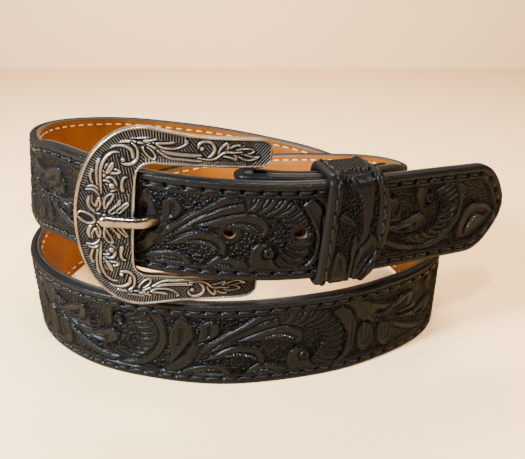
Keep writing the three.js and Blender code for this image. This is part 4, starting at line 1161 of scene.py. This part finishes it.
# engraving, upper half, in millimetres from the bar and the middle; the lower half mirrors it
scrollWork = {
    "stems": [  # points, width of the line, thick end: 1 at the last point, -1 at the first, 0 in the middle
        ([(51.3, 9.3), (51.2, 12.4), (51.3, 16.5), (50.9, 19.3), (50.1, 22.1), (48.4, 24.6), (46.2, 26.6),
          (43.7, 27.8), (41.4, 28.2), (38.9, 28.1), (37, 27.7), (35.3, 27.1)], 0.5, 0),
        ([(50.2, 9), (50.2, 12.4), (50.2, 16), (49.8, 18.8), (48.9, 21), (47.6, 22.9), (45.6, 24.3),
          (43.9, 24.3)], 0.42, 0),
        ([(50, 22.7), (48.1, 24.9), (45.6, 26.3), (42.8, 26.6), (40.9, 26), (39.8, 24.9), (39.4, 22.9)], 0.5, 1),
        ([(39.8, 27.7), (38.4, 26.3), (38, 24.3), (38.4, 22.1), (39.8, 20.6), (41.4, 20.2), (42.8, 20.7),
          (43.4, 21.8), (42.8, 22.7), (42, 22.4)], 0.48, 0),
        ([(37.8, 27.9), (35.3, 27.7), (33.7, 26.8), (31.7, 25.7), (29.5, 24.9), (24, 24.1), (17.7, 23.7)], 0.5, 1),
        ([(31.7, 25.4), (30, 24.1), (27.8, 22.9), (23.2, 22.4), (19, 22), (15.4, 22.6), (13.5, 24.1), (12.7, 26),
          (13.5, 28), (15.2, 28.7), (16.8, 28.7), (18.1, 27.8), (18.2, 26.4), (17.4, 25.6), (16.3, 26.1)], 0.48, 0),
        ([(41.2, 29.4), (36, 29.6), (32.6, 30.3), (31.2, 30.4), (31.5, 29.6), (33.5, 28.9), (36, 28.5),
          (34, 27.9)], 0.34, 0),
        ([(12.1, 22.9), (11, 25.8), (9.6, 27.4), (8.5, 28.1), (8.2, 27.2), (8.4, 26.1), (9.3, 25)], 0.38, 0),
        ([(6, 24.8), (4.3, 23.3), (2.1, 22.2), (-0.4, 21.9), (-2.3, 22.5), (-3.2, 23), (-1.2, 23), (0.4, 23.4),
          (2.1, 24)], 0.36, 0),
        ([(12.1, 22.9), (10.2, 23.6), (8.2, 23.3), (6.6, 22.8), (5.2, 22.1), (5.1, 23.1), (6, 24.2)], 0.36, 0),
        ([(18.5, 23), (14.5, 22.4), (12.1, 22.9), (9.3, 24.9), (6, 24.8), (3, 25)], 0.4, 0),
        ([(55.2, 10.9), (53.9, 11.7), (52.8, 12), (51.4, 11.3), (51, 10.3)], 0.4, 0),
        ([(55, 10.6), (52.8, 10.7), (51.4, 9.6), (50.6, 8.2)], 0.38, 0),
        ([(53, 8.5), (53.9, 7.9), (54.5, 6.6), (54.4, 4.9), (53.4, 3.2), (51.7, 2), (50.6, 1.6)], 0.5, 0),
        ([(53, 8.5), (53.4, 6.8), (52.8, 5.2), (52.1, 4.6), (51.7, 6), (50.9, 7.7), (50.7, 5.4), (51.2, 3.8),
          (52, 2.9)], 0.36, 0),
        ([(48.9, 14.6), (47.3, 15.4), (45.9, 14.9), (45.3, 13.2), (45.6, 11), (47, 10.2)], 0.38, 0),
        ([(49.2, 14.1), (48.1, 14.1), (47, 13.2), (47.6, 12.4), (48.4, 12.9)], 0.34, 0),
    ],
    "leaves": [  # outlines with a dark inside
        [(34.2, 28.5), (31.4, 29.1), (28.7, 29.5), (27.6, 29.1), (28.2, 28.2), (30, 27.7), (31.7, 27.9)],
        [(32, 27.7), (28.5, 28), (26, 28.4), (23.5, 28.9), (22, 28.8), (22, 28.2), (23.5, 27.1), (26, 26.2),
         (28.5, 26.2), (30, 26.3)],
        [(36.4, 26.3), (35.3, 24.1), (33.9, 22.7), (32.8, 22.4), (32.4, 23.5), (33.1, 24.9), (34.5, 26.3),
         (35.9, 26.8)],
        [(9.3, 24.9), (7.9, 26.1), (6, 27.2), (4.1, 27.4), (3.9, 26.7), (4.9, 25.6), (6.6, 24.9), (8.2, 24.6)],
        [(4.1, 25.8), (2.1, 26.1), (-0.4, 25.8), (-1.4, 25.2), (-0.4, 24.5), (1.6, 24.1), (3.5, 24.5)],
        [(52.6, 17.8), (53.3, 16), (53.1, 13.8), (52.3, 12.4), (51.6, 12.1), (51.6, 14.3), (51.9, 16.6)],
        [(46.3, 9.3), (47, 7.1), (48.1, 5.4), (49.1, 3.8), (49.4, 6), (48.9, 7.7), (47.6, 9.1)],
        [(44.2, 7.1), (45.1, 5.4), (46.4, 4.1), (47.8, 2.4), (47, 1.8), (45.3, 3.5), (44.4, 5.2)],
        [(41.7, 6.3), (43.9, 4.6), (45.3, 2.9), (44.8, 2.1), (42.8, 4.1), (41.6, 5.7)],
        [(49.4, 15.4), (47.6, 16.8), (45.3, 16.8), (43.8, 17.4), (44.8, 18.2), (46.4, 18.2), (48.1, 17.1)],
        [(49.4, 17.9), (48.1, 19.6), (46.9, 20.2), (47.6, 18.8), (48.7, 17.1)],
        [(48.1, 16.8), (47, 19.3), (46, 20.4), (46.2, 19.3), (47, 17.7)],
    ],
    "filled": [[(41.2, 16), (42.6, 16.1), (43.7, 14.9), (44.1, 12.4), (43.9, 10.4), (42.8, 9.9), (42.4, 11),
                (42.7, 13.2), (42.1, 14.9), (41.2, 15.3)]],
    "balls": [((42.7, 21.7), 0.85), ((17, 26.2), 0.85), ((46.6, 12.2), 1.1), ((49.5, 1.2), 0.7)],
    "middle": [(58.5, 1), (57.3, 2.3), (55.1, 1.8), (53.1, 0.4), (52.8, -1.2), (54.2, -2), (56.7, -1.2),
               (57.8, -0.1)],
}


def levelled(points):  # the engraving was measured with the frame level; the frame itself is turned a little
    points = np.array(points, float)
    roll = math.radians(buckle["roll"])
    across = points[..., 0] - buckle["rollAt"]
    return np.stack([buckle["rollAt"] + across * math.cos(roll) + points[..., 1] * math.sin(roll),
                     points[..., 1] * math.cos(roll) - across * math.sin(roll)], -1)


def buckleSheet():
    sheet = Sheet((-8.2, -35), (60.4, 35), 0.1)
    x, y = np.meshgrid(sheet.x, sheet.y, indexing="ij")
    tall = np.abs(y)
    # fine cut lines of the ground: their slant changes from place to place
    slants = [  # where the middle of the patch is, direction of its lines in degrees
        ((56, 0), 60), ((45, 8), 80), ((42, 6), 90), ((45, 24), 76), ((30, 24), 8), ((33, 29), 60),
        ((22, 26), 50), ((15, 26), 48), ((8, 25), 135), ((0, 25), 130), ((50, 14), 70), ((38, 26), 45)]
    best = np.full(x.shape, 1e9)
    ground = np.zeros_like(x)
    for (cx, cy), degrees in slants:
        gap = np.hypot(x - cx, tall - cy)
        a = math.radians(degrees)
        lines = 0.5 + 0.5 * np.sin(2 * math.pi * (x * math.sin(a) - tall * math.cos(a)) / 0.92)
        near = gap < best
        best = np.where(near, gap, best)
        ground = np.where(near, lines, ground)
    sheet.height[:] = -buckle["field"] + 0.5 * ground ** 2.2

    def line(points, wide, thick, top=0.62):
        curve = smoothLine(points, 5 * len(points))
        for flip in (1, -1):
            flipped = curve * np.array([1, flip])
            for box, px, py in sheet.window(flipped, wide * 3.2):
                gap, share, _ = measure(px, py, flipped, False)
                grow = {1: 0.55 + 0.75 * share, -1: 1.3 - 0.75 * share,
                        0: 0.62 + 0.5 * np.sin(np.pi * share)}[thick]
                reach = wide * grow
                body = -buckle["field"] + (top + 0.15) * np.sqrt(np.maximum(1 - (gap / (reach * 1.2)) ** 2, 0))
                moat = gap < reach * 1.2 + 0.36
                body = np.where(gap < reach * 1.2, body, -buckle["field"])
                sheet.height[box] = np.where(moat, body, sheet.height[box])

    def leaf(points):
        curve = smoothLine(points, 6 * len(points), closed=True)
        for flip in (1, -1):
            flipped = curve * np.array([1, flip])
            for box, px, py in sheet.window(flipped, 0.9):
                gap, _, inside = measure(px, py, flipped, True)
                rim = -buckle["field"] + 0.74 * np.sqrt(np.maximum(1 - (gap / 0.42) ** 2, 0))
                touched = inside | (gap < 0.7)
                sheet.height[box] = np.where(touched, np.where(gap < 0.42, rim, -buckle["field"]), sheet.height[box])
        centre = np.mean(points, 0)
        ends = np.array(points)
        far = ends[np.argmax(np.linalg.norm(ends - centre, axis=1))]
        for flip in (1, -1):
            vein = np.array([centre * 1.35 - far * 0.35, centre, centre * 0.45 + far * 0.55]) * np.array([1, flip])
            for box, px, py in sheet.window(vein, 0.6):
                gap, _, _ = measure(px, py, vein, False)
                sheet.height[box] = np.maximum(sheet.height[box], -buckle["field"] + 0.35 * np.exp(-(gap / 0.16) ** 2))

    for points in scrollWork["leaves"]:
        leaf(levelled(points))
    for points, wide, thick in scrollWork["stems"]:
        line(levelled(points), wide, thick)
    for points in scrollWork["filled"]:
        curve = smoothLine(levelled(points), 6 * len(points), closed=True)
        for flip in (1, -1):
            flipped = curve * np.array([1, flip])
            for box, px, py in sheet.window(flipped, 0.6):
                gap, _, inside = measure(px, py, flipped, True)
                body = -buckle["field"] + 0.7 * easeStep(0, 0.5, gap)
                sheet.height[box] = np.where(inside, body, np.where(gap < 0.4, -buckle["field"], sheet.height[box]))
    for ball, radius in scrollWork["balls"]:
        cx, cy = levelled(ball)
        for flip in (1, -1):
            spot = np.array([[cx - radius, cy * flip - radius], [cx + radius, cy * flip + radius]])
            for box, px, py in sheet.window(spot, 0.6):
                gap = np.hypot(px - cx, py - cy * flip)
                body = -buckle["field"] + 0.85 * np.sqrt(np.maximum(1 - (gap / radius) ** 2, 0))
                sheet.height[box] = np.where(gap < radius + 0.35, body, sheet.height[box])
    curve = smoothLine(levelled(scrollWork["middle"]), 60, closed=True)
    for box, px, py in sheet.window(curve, 0.9):
        gap, _, inside = measure(px, py, curve, True)
        rim = -buckle["field"] + 0.74 * np.sqrt(np.maximum(1 - (gap / 0.45) ** 2, 0))
        sheet.height[box] = np.where(inside | (gap < 0.7), np.where(gap < 0.45, rim, -buckle["field"]),
                                     sheet.height[box])
    return sheet


engraved = buckleSheet()
print("buckle: engraving drawn")


def rolled(along, rise, front):  # the cast frame sits a little turned in its own plane
    roll = math.radians(buckle["roll"])
    across = along - buckle["rollAt"]
    return onBuckle(buckle["rollAt"] + across * math.cos(roll) - rise * math.sin(roll),
                    across * math.sin(roll) + rise * math.cos(roll), front)


def buckleFrame():
    sections, perSection = 720, 46
    outer = smoothLine(wholeRows[:, :2], sections)
    inner = smoothLine(wholeRows[:, 2:], sections)
    across = np.linalg.norm(inner - outer, axis=1)
    soft = buckle["edge"]
    offsets = []
    fixed = np.array([0, 0.06, 0.18, 0.36, 0.58, 0.8, 0.98])
    for wide in across:
        edge = fixed * min(1, 0.28 * wide)
        middle = np.linspace(edge[-1], wide - edge[-1], perSection)[1:-1]
        offsets.append(np.concatenate([edge, middle, wide - edge[::-1]]))
    offsets = np.array(offsets)
    share = offsets / across[:, None]
    place = outer[:, None] * (1 - share[..., None]) + inner[:, None] * share[..., None]
    along, rise = place[..., 0], place[..., 1]
    outerLength = np.concatenate([[0], np.cumsum(np.linalg.norm(np.diff(outer, axis=0), axis=1))])
    fromOuter, fromInner = offsets, across[:, None] - offsets
    endGap = along + buckle["armEnd"]
    rim = np.minimum(np.minimum(fromOuter, fromInner), np.maximum(endGap, 0))
    cut = engraved.sample(along, rise)
    # ridged fringe along the outer rim, and short ticks along the inner one
    left = easeStep(20, 28, along) * easeStep(9.5, 12, np.abs(rise))
    fringeWide = 2.6 - 0.9 * easeStep(40, 56, along)
    ticks = 0.5 + 0.5 * np.sin(2 * math.pi * outerLength[:, None] / 0.95)
    fringe = -buckle["field"] + 0.5 * ticks ** 1.8
    inFringe = left * (fromOuter < 0.95 + fringeWide) * (fromOuter > 0.9)
    cut = np.where(inFringe > 0.5, fringe, cut)
    innerLength = np.concatenate([[0], np.cumsum(np.linalg.norm(np.diff(inner, axis=0), axis=1))])
    innerTicks = -buckle["field"] + 0.5 * (0.5 + 0.5 * np.sin(2 * math.pi * innerLength[:, None] / 0.9))
    low = (fromInner < 2.3) & (fromInner > 0.9) & (along > 2) & (along < 37) & (cut < -0.45)
    cut = np.where(low, innerTicks, cut)
    rimTop = 1 - easeStep(0.72, 0.95, rim)
    height = cut * (1 - rimTop)
    drop = soft - np.sqrt(np.maximum(soft ** 2 - (soft - np.minimum(rim, soft)) ** 2, 0))
    front = plateFront(along) + height - drop
    face = rolled(along, rise, front)
    sides = []
    for which, edge in ((inner, 1), (outer, 0)):
        for deep in ((-1.6, -2.6, -3.0) if edge else (-3.0, -2.6, -1.6)):
            inset = 0.25 if deep == -3.0 else 0
            towards = (outer - inner) / across[:, None] * (1 if edge else -1)
            spot = which + towards * inset
            sides.append(rolled(spot[:, 0], spot[:, 1], plateFront(spot[:, 0]) + deep - 0.2 * (deep == -3.0)))
    points = np.concatenate([face, np.stack(sides, 1)], 1)
    rows, columns = points.shape[:2]
    faces, _, _ = quadGrid(rows, columns, closedColumns=True)
    zero = np.zeros((rows, 6))
    masks = {"low": np.concatenate([clamp(-(height) / buckle["field"]) * (rim > 0.7), zero + 0.15], 1).ravel(),
             "ground": np.zeros(rows * columns)}
    faceList = faces.tolist() + [list(range(columns))[::-1], [(rows - 1) * columns + k for k in range(columns)]]
    addPiece("buckleFrame", points.reshape(-1, 3), faceList, [castFinish], ["buckle_frame"],
             None, masks)
    # the bar the strap is folded round
    angle = np.arange(24) / 24 * 2 * math.pi
    reach = buckle["opening"] / 2 + buckle["seat"]
    rises = np.linspace(-reach, reach, 24)
    rises, angles = np.meshgrid(rises, angle, indexing="ij")
    front = buckle["bar"] * np.sin(angles)  # flattened where it is let into the arms
    front = np.where(np.abs(rises) > 17.5, np.minimum(front, 0.4), front)
    bar = onBuckle(buckle["bar"] * np.cos(angles), rises, front)
    faces, _, _ = quadGrid(24, 24, closedColumns=True)
    faceList = faces.tolist() + [list(range(24))[::-1], list(range(23 * 24, 24 * 24))]
    addPiece("buckleBar", bar.reshape(-1, 3), faceList, [castFinish], ["buckle_frame"], None,
             {"low": np.full(24 * 24, 0.35), "ground": np.zeros(24 * 24)})


buckleFrame()
print("buckle: frame and bar made")


# tongue: an eye round the bar, behind the strap, up through its hole and over the frame's left side
tongueLook = {"wide": 5.4, "thick": 3.0, "eye": 1.8, "clear": 0.35, "overFrame": 12.1, "ramp": 2.0}


def tongueLine():
    halfThick = tongueLook["thick"] / 2
    eyeRadius = buckle["bar"] + 0.3 + tongueLook["eye"] / 2
    layered = strap["outer"] + strap["gap"] + strap["lining"]

    def toBuckle(length, depth):
        station = stationsAt(np.array([length]))
        spot = placeOn(station, np.array([strap["width"] / 2]), np.array([depth]))[0] - buckleMiddle
        return spot @ buckleAlong, spot @ buckleFront
    behind = toBuckle(tongueHole - 8.5, layered + tongueLook["clear"] + halfThick)
    through = toBuckle(tongueHole, layered / 2)
    innerEdge = -buckle["armEnd"] + frameRows[-1][2] * buckle["length"]
    resting = [(at, float(plateFront(at)) + tongueLook["clear"] + halfThick)
               for at in (innerEdge - tongueLook["ramp"], innerEdge + tongueLook["overFrame"] / 2,
                          innerEdge + tongueLook["overFrame"])]
    points = [(eyeRadius * 0.8, -eyeRadius * 0.3), (behind[0] / 2, min(behind[1] / 2, -eyeRadius * 0.5)), behind,
              through] + resting
    return smoothLine(points, 400)


def buckleTongue():
    line = tongueLine()
    steps = np.concatenate([[0], np.cumsum(np.linalg.norm(np.diff(line, axis=0), axis=1))])
    whole = steps[-1]
    closing = 5 * np.sin(np.linspace(0, 1, 24)[1:] * math.pi / 2)  # closer steps towards the point
    marks = np.concatenate([np.linspace(0, whole - 5, 90), whole - 5 + closing])
    at = np.stack([np.interp(marks, steps, line[:, 0]), np.interp(marks, steps, line[:, 1])], -1)
    heading = np.gradient(at, axis=0)
    heading /= np.linalg.norm(heading, axis=1, keepdims=True)
    fromTip = whole - marks
    tip = np.sqrt(np.maximum(0.004, 1 - np.maximum(0, 1 - fromTip / 3.2) ** 2))
    taper = 1 - 0.22 * easeStep(whole - 24, whole - 10, marks) * (1 - easeStep(whole - 8, whole, marks) * 0.5)
    angle = np.arange(28) / 28 * 2 * math.pi
    wide = tongueLook["wide"] / 2 * tip * taper
    thick = tongueLook["thick"] / 2 * (0.25 + 0.75 * tip)
    rise = np.sign(np.cos(angle)) * np.abs(np.cos(angle)) ** 0.85 * wide[:, None]
    lift = np.sign(np.sin(angle)) * np.abs(np.sin(angle)) ** 0.85 * thick[:, None]
    points = onBuckle(at[:, :1] - heading[:, 1:] * lift, rise, at[:, 1:] + heading[:, :1] * lift)
    rows, columns = points.shape[:2]
    faces, _, _ = quadGrid(rows, columns, closedColumns=True)
    faceList = faces.tolist() + [list(range(columns))[::-1], [(rows - 1) * columns + k for k in range(columns)]]
    none = np.zeros(rows * columns)
    addPiece("buckleTongue", points.reshape(-1, 3), faceList, [polishedFinish], ["buckle_tongue"],
             None, {"low": none, "ground": none})
    inner, outer = buckle["bar"] + 0.3, buckle["bar"] + 0.3 + tongueLook["eye"]
    ring = np.arange(40) / 40 * 2 * math.pi
    section = [(inner, -2.0), (inner + 0.4, -2.4), (outer - 0.5, -2.4), (outer, -1.9), (outer, 1.9),
               (outer - 0.5, 2.4), (inner + 0.4, 2.4), (inner, 2.0)]
    radii, rises = np.array(section).T
    eye = onBuckle(np.cos(ring)[:, None] * radii, np.broadcast_to(rises, (40, 8)), np.sin(ring)[:, None] * radii)
    faces, _, _ = quadGrid(40, 8, closedRows=True, closedColumns=True)
    none = np.zeros(320)
    addPiece("tongueEye", eye.reshape(-1, 3), faces.tolist(), [polishedFinish], ["buckle_tongue"],
             None, {"low": none, "ground": none})


buckleTongue()
print("tongue made")


# keeper: a tooled band round the tip's run and the folded end behind it
keeper = {"place": 75.0, "width": 26.0, "thickness": 2.4, "slack": 0.6, "corner": 2.8, "edge": 0.9, "skew": 1.4,
          "stitchAt": 10.1, "stitchPitch": 5.6, "bow": 0.42}
keeperLeaves = {
    "stem": ([(5, 41), (2.5, 35), (0, 31.5), (-1, 26), (-2, 20), (-1, 14), (-0.5, 10), (-2.5, 13.5), (-4.5, 16.5),
              (-5, 23.5), (-5.5, 34), (-5, 41)], None),
    "stemLow": ([(-1, 14), (-0.5, 8.5), (-0.5, -3.5), (2, -3.5), (1, 6.5), (1, 13.5), (0.5, 18.5)], None),
    "second": ([(-3.5, -3.5), (-6.5, 3), (-10, 9), (-11.5, 11), (-12, 7), (-9.5, 3.5), (-6.5, -1.5)], None),
    "bud": ([(-1, -1), (-1, 4.5), (-1.5, 10), (-4, 14.5), (-6, 17), (-8.5, 16), (-9.5, 13.5), (-8.5, 10), (-6, 4.5),
             (-3, -1)], [(-2.5, 3.5), (-3.5, 9), (-6, 12), (-8.5, 13.5), (-8.5, 11), (-6, 6.5)]),
    "petal": ([(7.5, -3.5), (8, 6.5), (7, 11), (5, 11.5), (2.5, 8.5), (2, 4.5), (2.5, -3.5)],
              [(6, 9), (4.5, 9.5), (3.5, 5.5), (4, 2.5), (5, 5.5)]),
    "upper": ([(8.5, 25.5), (6.5, 27.5), (4, 26), (1.5, 23.5), (0.5, 20.5), (4, 22.5), (6.5, 23.5)],
              [(5, 25), (4, 25), (2, 22), (3, 22)]),
}


def bowed(w, across):  # the edge towards the tip bows out between the corners
    profile = np.cos(np.clip(across / strap["width"] - 0.5, -0.5, 0.5) * math.pi) ** 0.7
    return np.where(w < 0, w * (1 - keeper["bow"] * (1 - profile)), w)


def keeperBand():
    sheet = Sheet((-13, -8), (13, 46), 0.14)
    x, _ = np.meshgrid(sheet.x, sheet.y, indexing="ij")
    border = 8.2 - np.abs(x)
    borderGround(sheet, border)
    for outline, hollow in keeperLeaves.values():
        raiseShape(sheet, outline, shine=0.4)
        if hollow:
            scoopShape(sheet, hollow)
    ridgeLine(sheet, [(5, 41), (2.5, 35), (0.2, 31.5), (-0.8, 26), (-1.8, 20), (-0.8, 14)], rise=0.3)
    sheet.height[:] -= 0.35 * np.exp(-(border / 0.35) ** 2)
    stations = stationsAt(keeper["place"] + np.linspace(-0.5, 0.5, 7) * keeper["width"])
    behind = stationsAt(np.linspace(strapLength + foldLength, endLength, 60))
    deepest = 0
    for k in range(7):
        away = behind[0] - stations[0][k]
        near = np.abs((away * stations[1][k]).sum(1)) < 7
        if near.any():
            deepest = max(deepest, float((-(away[near] * stations[2][k]).sum(1)).max()))
    back = deepest + keeper["slack"]
    grow, slack, corner = keeper["thickness"], keeper["slack"], keeper["corner"]

    def loop(by, cornerSteps, frontSteps, backSteps, sideSteps):
        low, high, front, rear = -slack - by, strap["width"] + slack + by, -slack - by, back + by
        radius = corner + by
        pieces = []
        spots = [((low + radius, front + radius), math.pi), ((high - radius, front + radius), 1.5 * math.pi),
                 ((high - radius, rear - radius), 0), ((low + radius, rear - radius), 0.5 * math.pi)]
        counts = [frontSteps, sideSteps, backSteps, sideSteps]
        for k, ((cx, cy), start) in enumerate(spots):
            angle = start + np.linspace(0, math.pi / 2, cornerSteps)
            arc = np.stack([cx + radius * np.cos(angle), cy + radius * np.sin(angle)], -1)
            (nx, ny), nextStart = spots[(k + 1) % 4]
            after = np.array([nx + radius * math.cos(nextStart), ny + radius * math.sin(nextStart)])
            straight = arc[-1] + (after - arc[-1]) * (np.arange(1, counts[k]) / counts[k])[:, None]
            pieces += [arc, straight]
        return np.concatenate(pieces)

    outerLoop = loop(grow, 14, 84, 30, 16)
    innerLoop = loop(0, 14, 84, 30, 16)
    around = np.linalg.norm(outerLoop - np.roll(outerLoop, 1, 0), axis=1)
    place = np.cumsum(around)
    middle = np.argmin(np.abs(outerLoop[:, 0] - strap["width"] / 2) + 100 * (outerLoop[:, 1] > 0))
    vAt = place - place[middle] + strap["width"] / 2
    vAt = np.where(vAt > strap["width"] / 2 + place[-1] / 2, vAt - place[-1], vAt)
    outward = unit(outerLoop - innerLoop)
    rim = np.array([0, 0.08, 0.25, 0.55, 0.9])
    w = np.concatenate([rim, np.linspace(1.25, keeper["width"] - 1.25, 66), keeper["width"] - rim[::-1]])
    fromEdge = np.minimum(w, keeper["width"] - w)
    wGrid, vGrid = np.meshgrid(w - keeper["width"] / 2, vAt, indexing="ij")
    height = sheet.sample(wGrid, vGrid) * (np.abs(vGrid - strap["width"] / 2) < 27)
    ground = sheet.sample(wGrid, vGrid, "ground")
    shine = sheet.sample(wGrid, vGrid, "shine")
    channel = 0.25 * np.exp(-((np.abs(wGrid) - keeper["stitchAt"]) / 0.75) ** 2)
    phase = (vGrid / keeper["stitchPitch"]) % 1
    fromPit = np.minimum(phase, 1 - phase) * keeper["stitchPitch"]
    dips = 0.6 * np.exp(-((np.abs(wGrid) - keeper["stitchAt"]) / 0.6) ** 2 - (fromPit / 0.6) ** 2)
    soft = keeper["edge"]
    drop = soft - np.sqrt(np.maximum(soft ** 2 - (soft - np.minimum(fromEdge, soft)) ** 2, 0))
    swell = 0.35 * np.exp(-((fromEdge - 3.0) / 2.2) ** 2)
    lift = height - channel - dips - drop[:, None] + swell[:, None]
    spot = outerLoop[None] + outward[None] * lift[..., None]
    shiftS = keeper["skew"] * (outerLoop[:, 0] / strap["width"] - 0.5) * 2
    lengths = keeper["place"] + bowed(wGrid, outerLoop[:, 0]) - shiftS
    flat = [q.reshape(lengths.shape + (3,)) for q in stationsAt(lengths.ravel())]
    outside = placeOn(flat, spot[..., 0], spot[..., 1])
    innerW = np.array([keeper["width"] - 0.3, keeper["width"] / 2, 0.3]) - keeper["width"] / 2
    insideSpots = np.broadcast_to(innerLoop[None], (3,) + innerLoop.shape)
    innerS = keeper["place"] + bowed(innerW[:, None], innerLoop[:, 0])
    innerS = innerS - keeper["skew"] * (innerLoop[:, 0] / strap["width"] - 0.5) * 2
    flat = [q.reshape(innerS.shape + (3,)) for q in stationsAt(innerS.ravel())]
    inside = placeOn(flat, insideSpots[..., 0], insideSpots[..., 1])
    points = np.concatenate([outside, inside])
    rows, columns = points.shape[:2]
    faces, _, _ = quadGrid(rows, columns, closedRows=True, closedColumns=True)
    zero = np.zeros((3, columns))
    # low: painted shade, darker with depth in the tooled recesses and the stitch pits
    masks = {"ground": np.concatenate([ground, zero]).ravel(), "shine": np.concatenate([shine, zero]).ravel(),
             "low": np.concatenate([clamp(-height / 0.8) + dips, zero]).ravel(),
             "edge": np.concatenate([np.exp(-(fromEdge / 0.9) ** 2)[:, None] + 0 * wGrid, zero]).ravel()}
    addPiece("keeper", points.reshape(-1, 3), faces.tolist(), [blackFinish], ["keeper_loop"],
             None, masks)
    # its two sewn rows
    first = int(np.ceil(vAt.min() / keeper["stitchPitch"]))
    last = int(np.floor(vAt.max() / keeper["stitchPitch"]))
    order = np.argsort(vAt)
    marks = np.arange(first, last) * keeper["stitchPitch"]
    centres, headings, sides, fronts = [], [], [], []
    for side in (1, -1):
        column = int(np.argmin(np.abs((w - keeper["width"] / 2) - side * keeper["stitchAt"])))
        path = outside[column][order]

        def at(v):
            return np.stack([np.interp(v, vAt[order], path[:, k]) for k in range(3)], -1)
        a, b = at(marks + 0.5), at(marks + keeper["stitchPitch"] - 0.5)
        middlePoint = at(marks + keeper["stitchPitch"] / 2)
        beside = outside[min(column + 2, len(w) - 1)][order]
        middles = marks + keeper["stitchPitch"] / 2
        nextAt = np.stack([np.interp(middles, vAt[order], beside[:, k]) for k in range(3)], -1)
        heading = unit(b - a)
        across = unit(nextAt - middlePoint)
        front = unit(np.cross(heading, across))
        centreOfAll = outside.reshape(-1, 3).mean(0)
        front = np.where(((middlePoint - centreOfAll) * front).sum(1, keepdims=True) < 0, -front, front)
        centres.append(middlePoint + front * 0.12)
        headings.append(heading)
        sides.append(unit(np.cross(heading, front)))
        fronts.append(front)
    centres, headings, sides, fronts = map(np.concatenate, (centres, headings, sides, fronts))
    threadRun("keeperStitches", centres, headings, sides, fronts, keeper["stitchPitch"] - 0.9, threads["radius"],
              blackThread, "keeper_loop", bow=0.35)


keeperBand()
print("keeper made")


# plain pale floor and backdrop, soft light from the upper left
def stageSet():
    cards = []
    for name, light, dark in (("paleFloorCard", "#f0c48c", "#e8ba7e"), ("paleWallCard", "#ecc490", "#e4b87e")):
        material, tree, shader, place = newMaterial(name)
        fine = addNode(tree, "TexNoise", {}, {"Scale": 1000 / 3, "Detail": 3, "Roughness": 0.55, "Vector": place})
        colour = addNode(tree, "Mix", colours, {0: fine, 6: toLinear(dark), 7: toLinear(light)}, 2)
        tree.links.new(colour, shader.inputs["Base Color"])
        shader.inputs["Roughness"].default_value = 0.9
        cards.append(material)
    bpy.ops.mesh.primitive_plane_add(size=6, location=(0, 0.5, 0))
    floor = bpy.context.object
    floor.name = "floor"
    floor.data.materials.append(cards[0])
    bpy.ops.mesh.primitive_plane_add(size=6, location=(0, 0.75, 1.5), rotation=(math.radians(90), 0, 0))
    wall = bpy.context.object
    wall.name = "backdrop"
    wall.data.materials.append(cards[1])


stageSet()


def softLight(name, place, aim, size, power, colour):
    lamp = bpy.data.lights.new(name, "AREA")
    lamp.shape = "RECTANGLE"
    lamp.size, lamp.size_y = size
    lamp.energy = power
    lamp.color = colour
    holder = bpy.data.objects.new(name, lamp)
    bpy.context.collection.objects.link(holder)
    holder.location = place
    holder.rotation_euler = (Vector(aim) - Vector(place)).to_track_quat("-Z", "Y").to_euler()


softLight("windowLeft", (-0.55, -0.42, 0.42), (0, 0, 0.04), (0.1, 0.2), 42, (0.66, 0.83, 1.0))
softLight("overhead", (0.0, 0.3, 0.75), (0, 0, 0.04), (0.45, 0.2), 13, (1.0, 0.92, 0.80))
softLight("fillRight", (0.45, -0.5, 0.6), (0, 0, 0.05), (0.07, 0.1), 8, (1.0, 0.90, 0.78))
softLight("glint", (-0.12, -0.5, 0.62), (0, 0, 0.05), (0.05, 0.07), 8, (0.95, 0.97, 1.0))
world = bpy.context.scene.world or bpy.data.worlds.new("studio")
bpy.context.scene.world = world
world.use_nodes = True
world.node_tree.nodes["Background"].inputs["Color"].default_value = (0.74, 0.85, 1.0, 1)
world.node_tree.nodes["Background"].inputs["Strength"].default_value = 0.14

camera = bpy.data.objects.new("camera", bpy.data.cameras.new("camera"))
bpy.context.collection.objects.link(camera)
camera.location = ((18.2 + shift[0]) / 1000, (-253.2 + shift[1]) / 1000, 0.155)
camera.rotation_euler = (math.radians(65.3), 0, 0)
camera.data.lens = 38.4
camera.data.sensor_width = 36
camera.data.clip_start = 0.01
bpy.context.scene.camera = camera

print("belt: done")
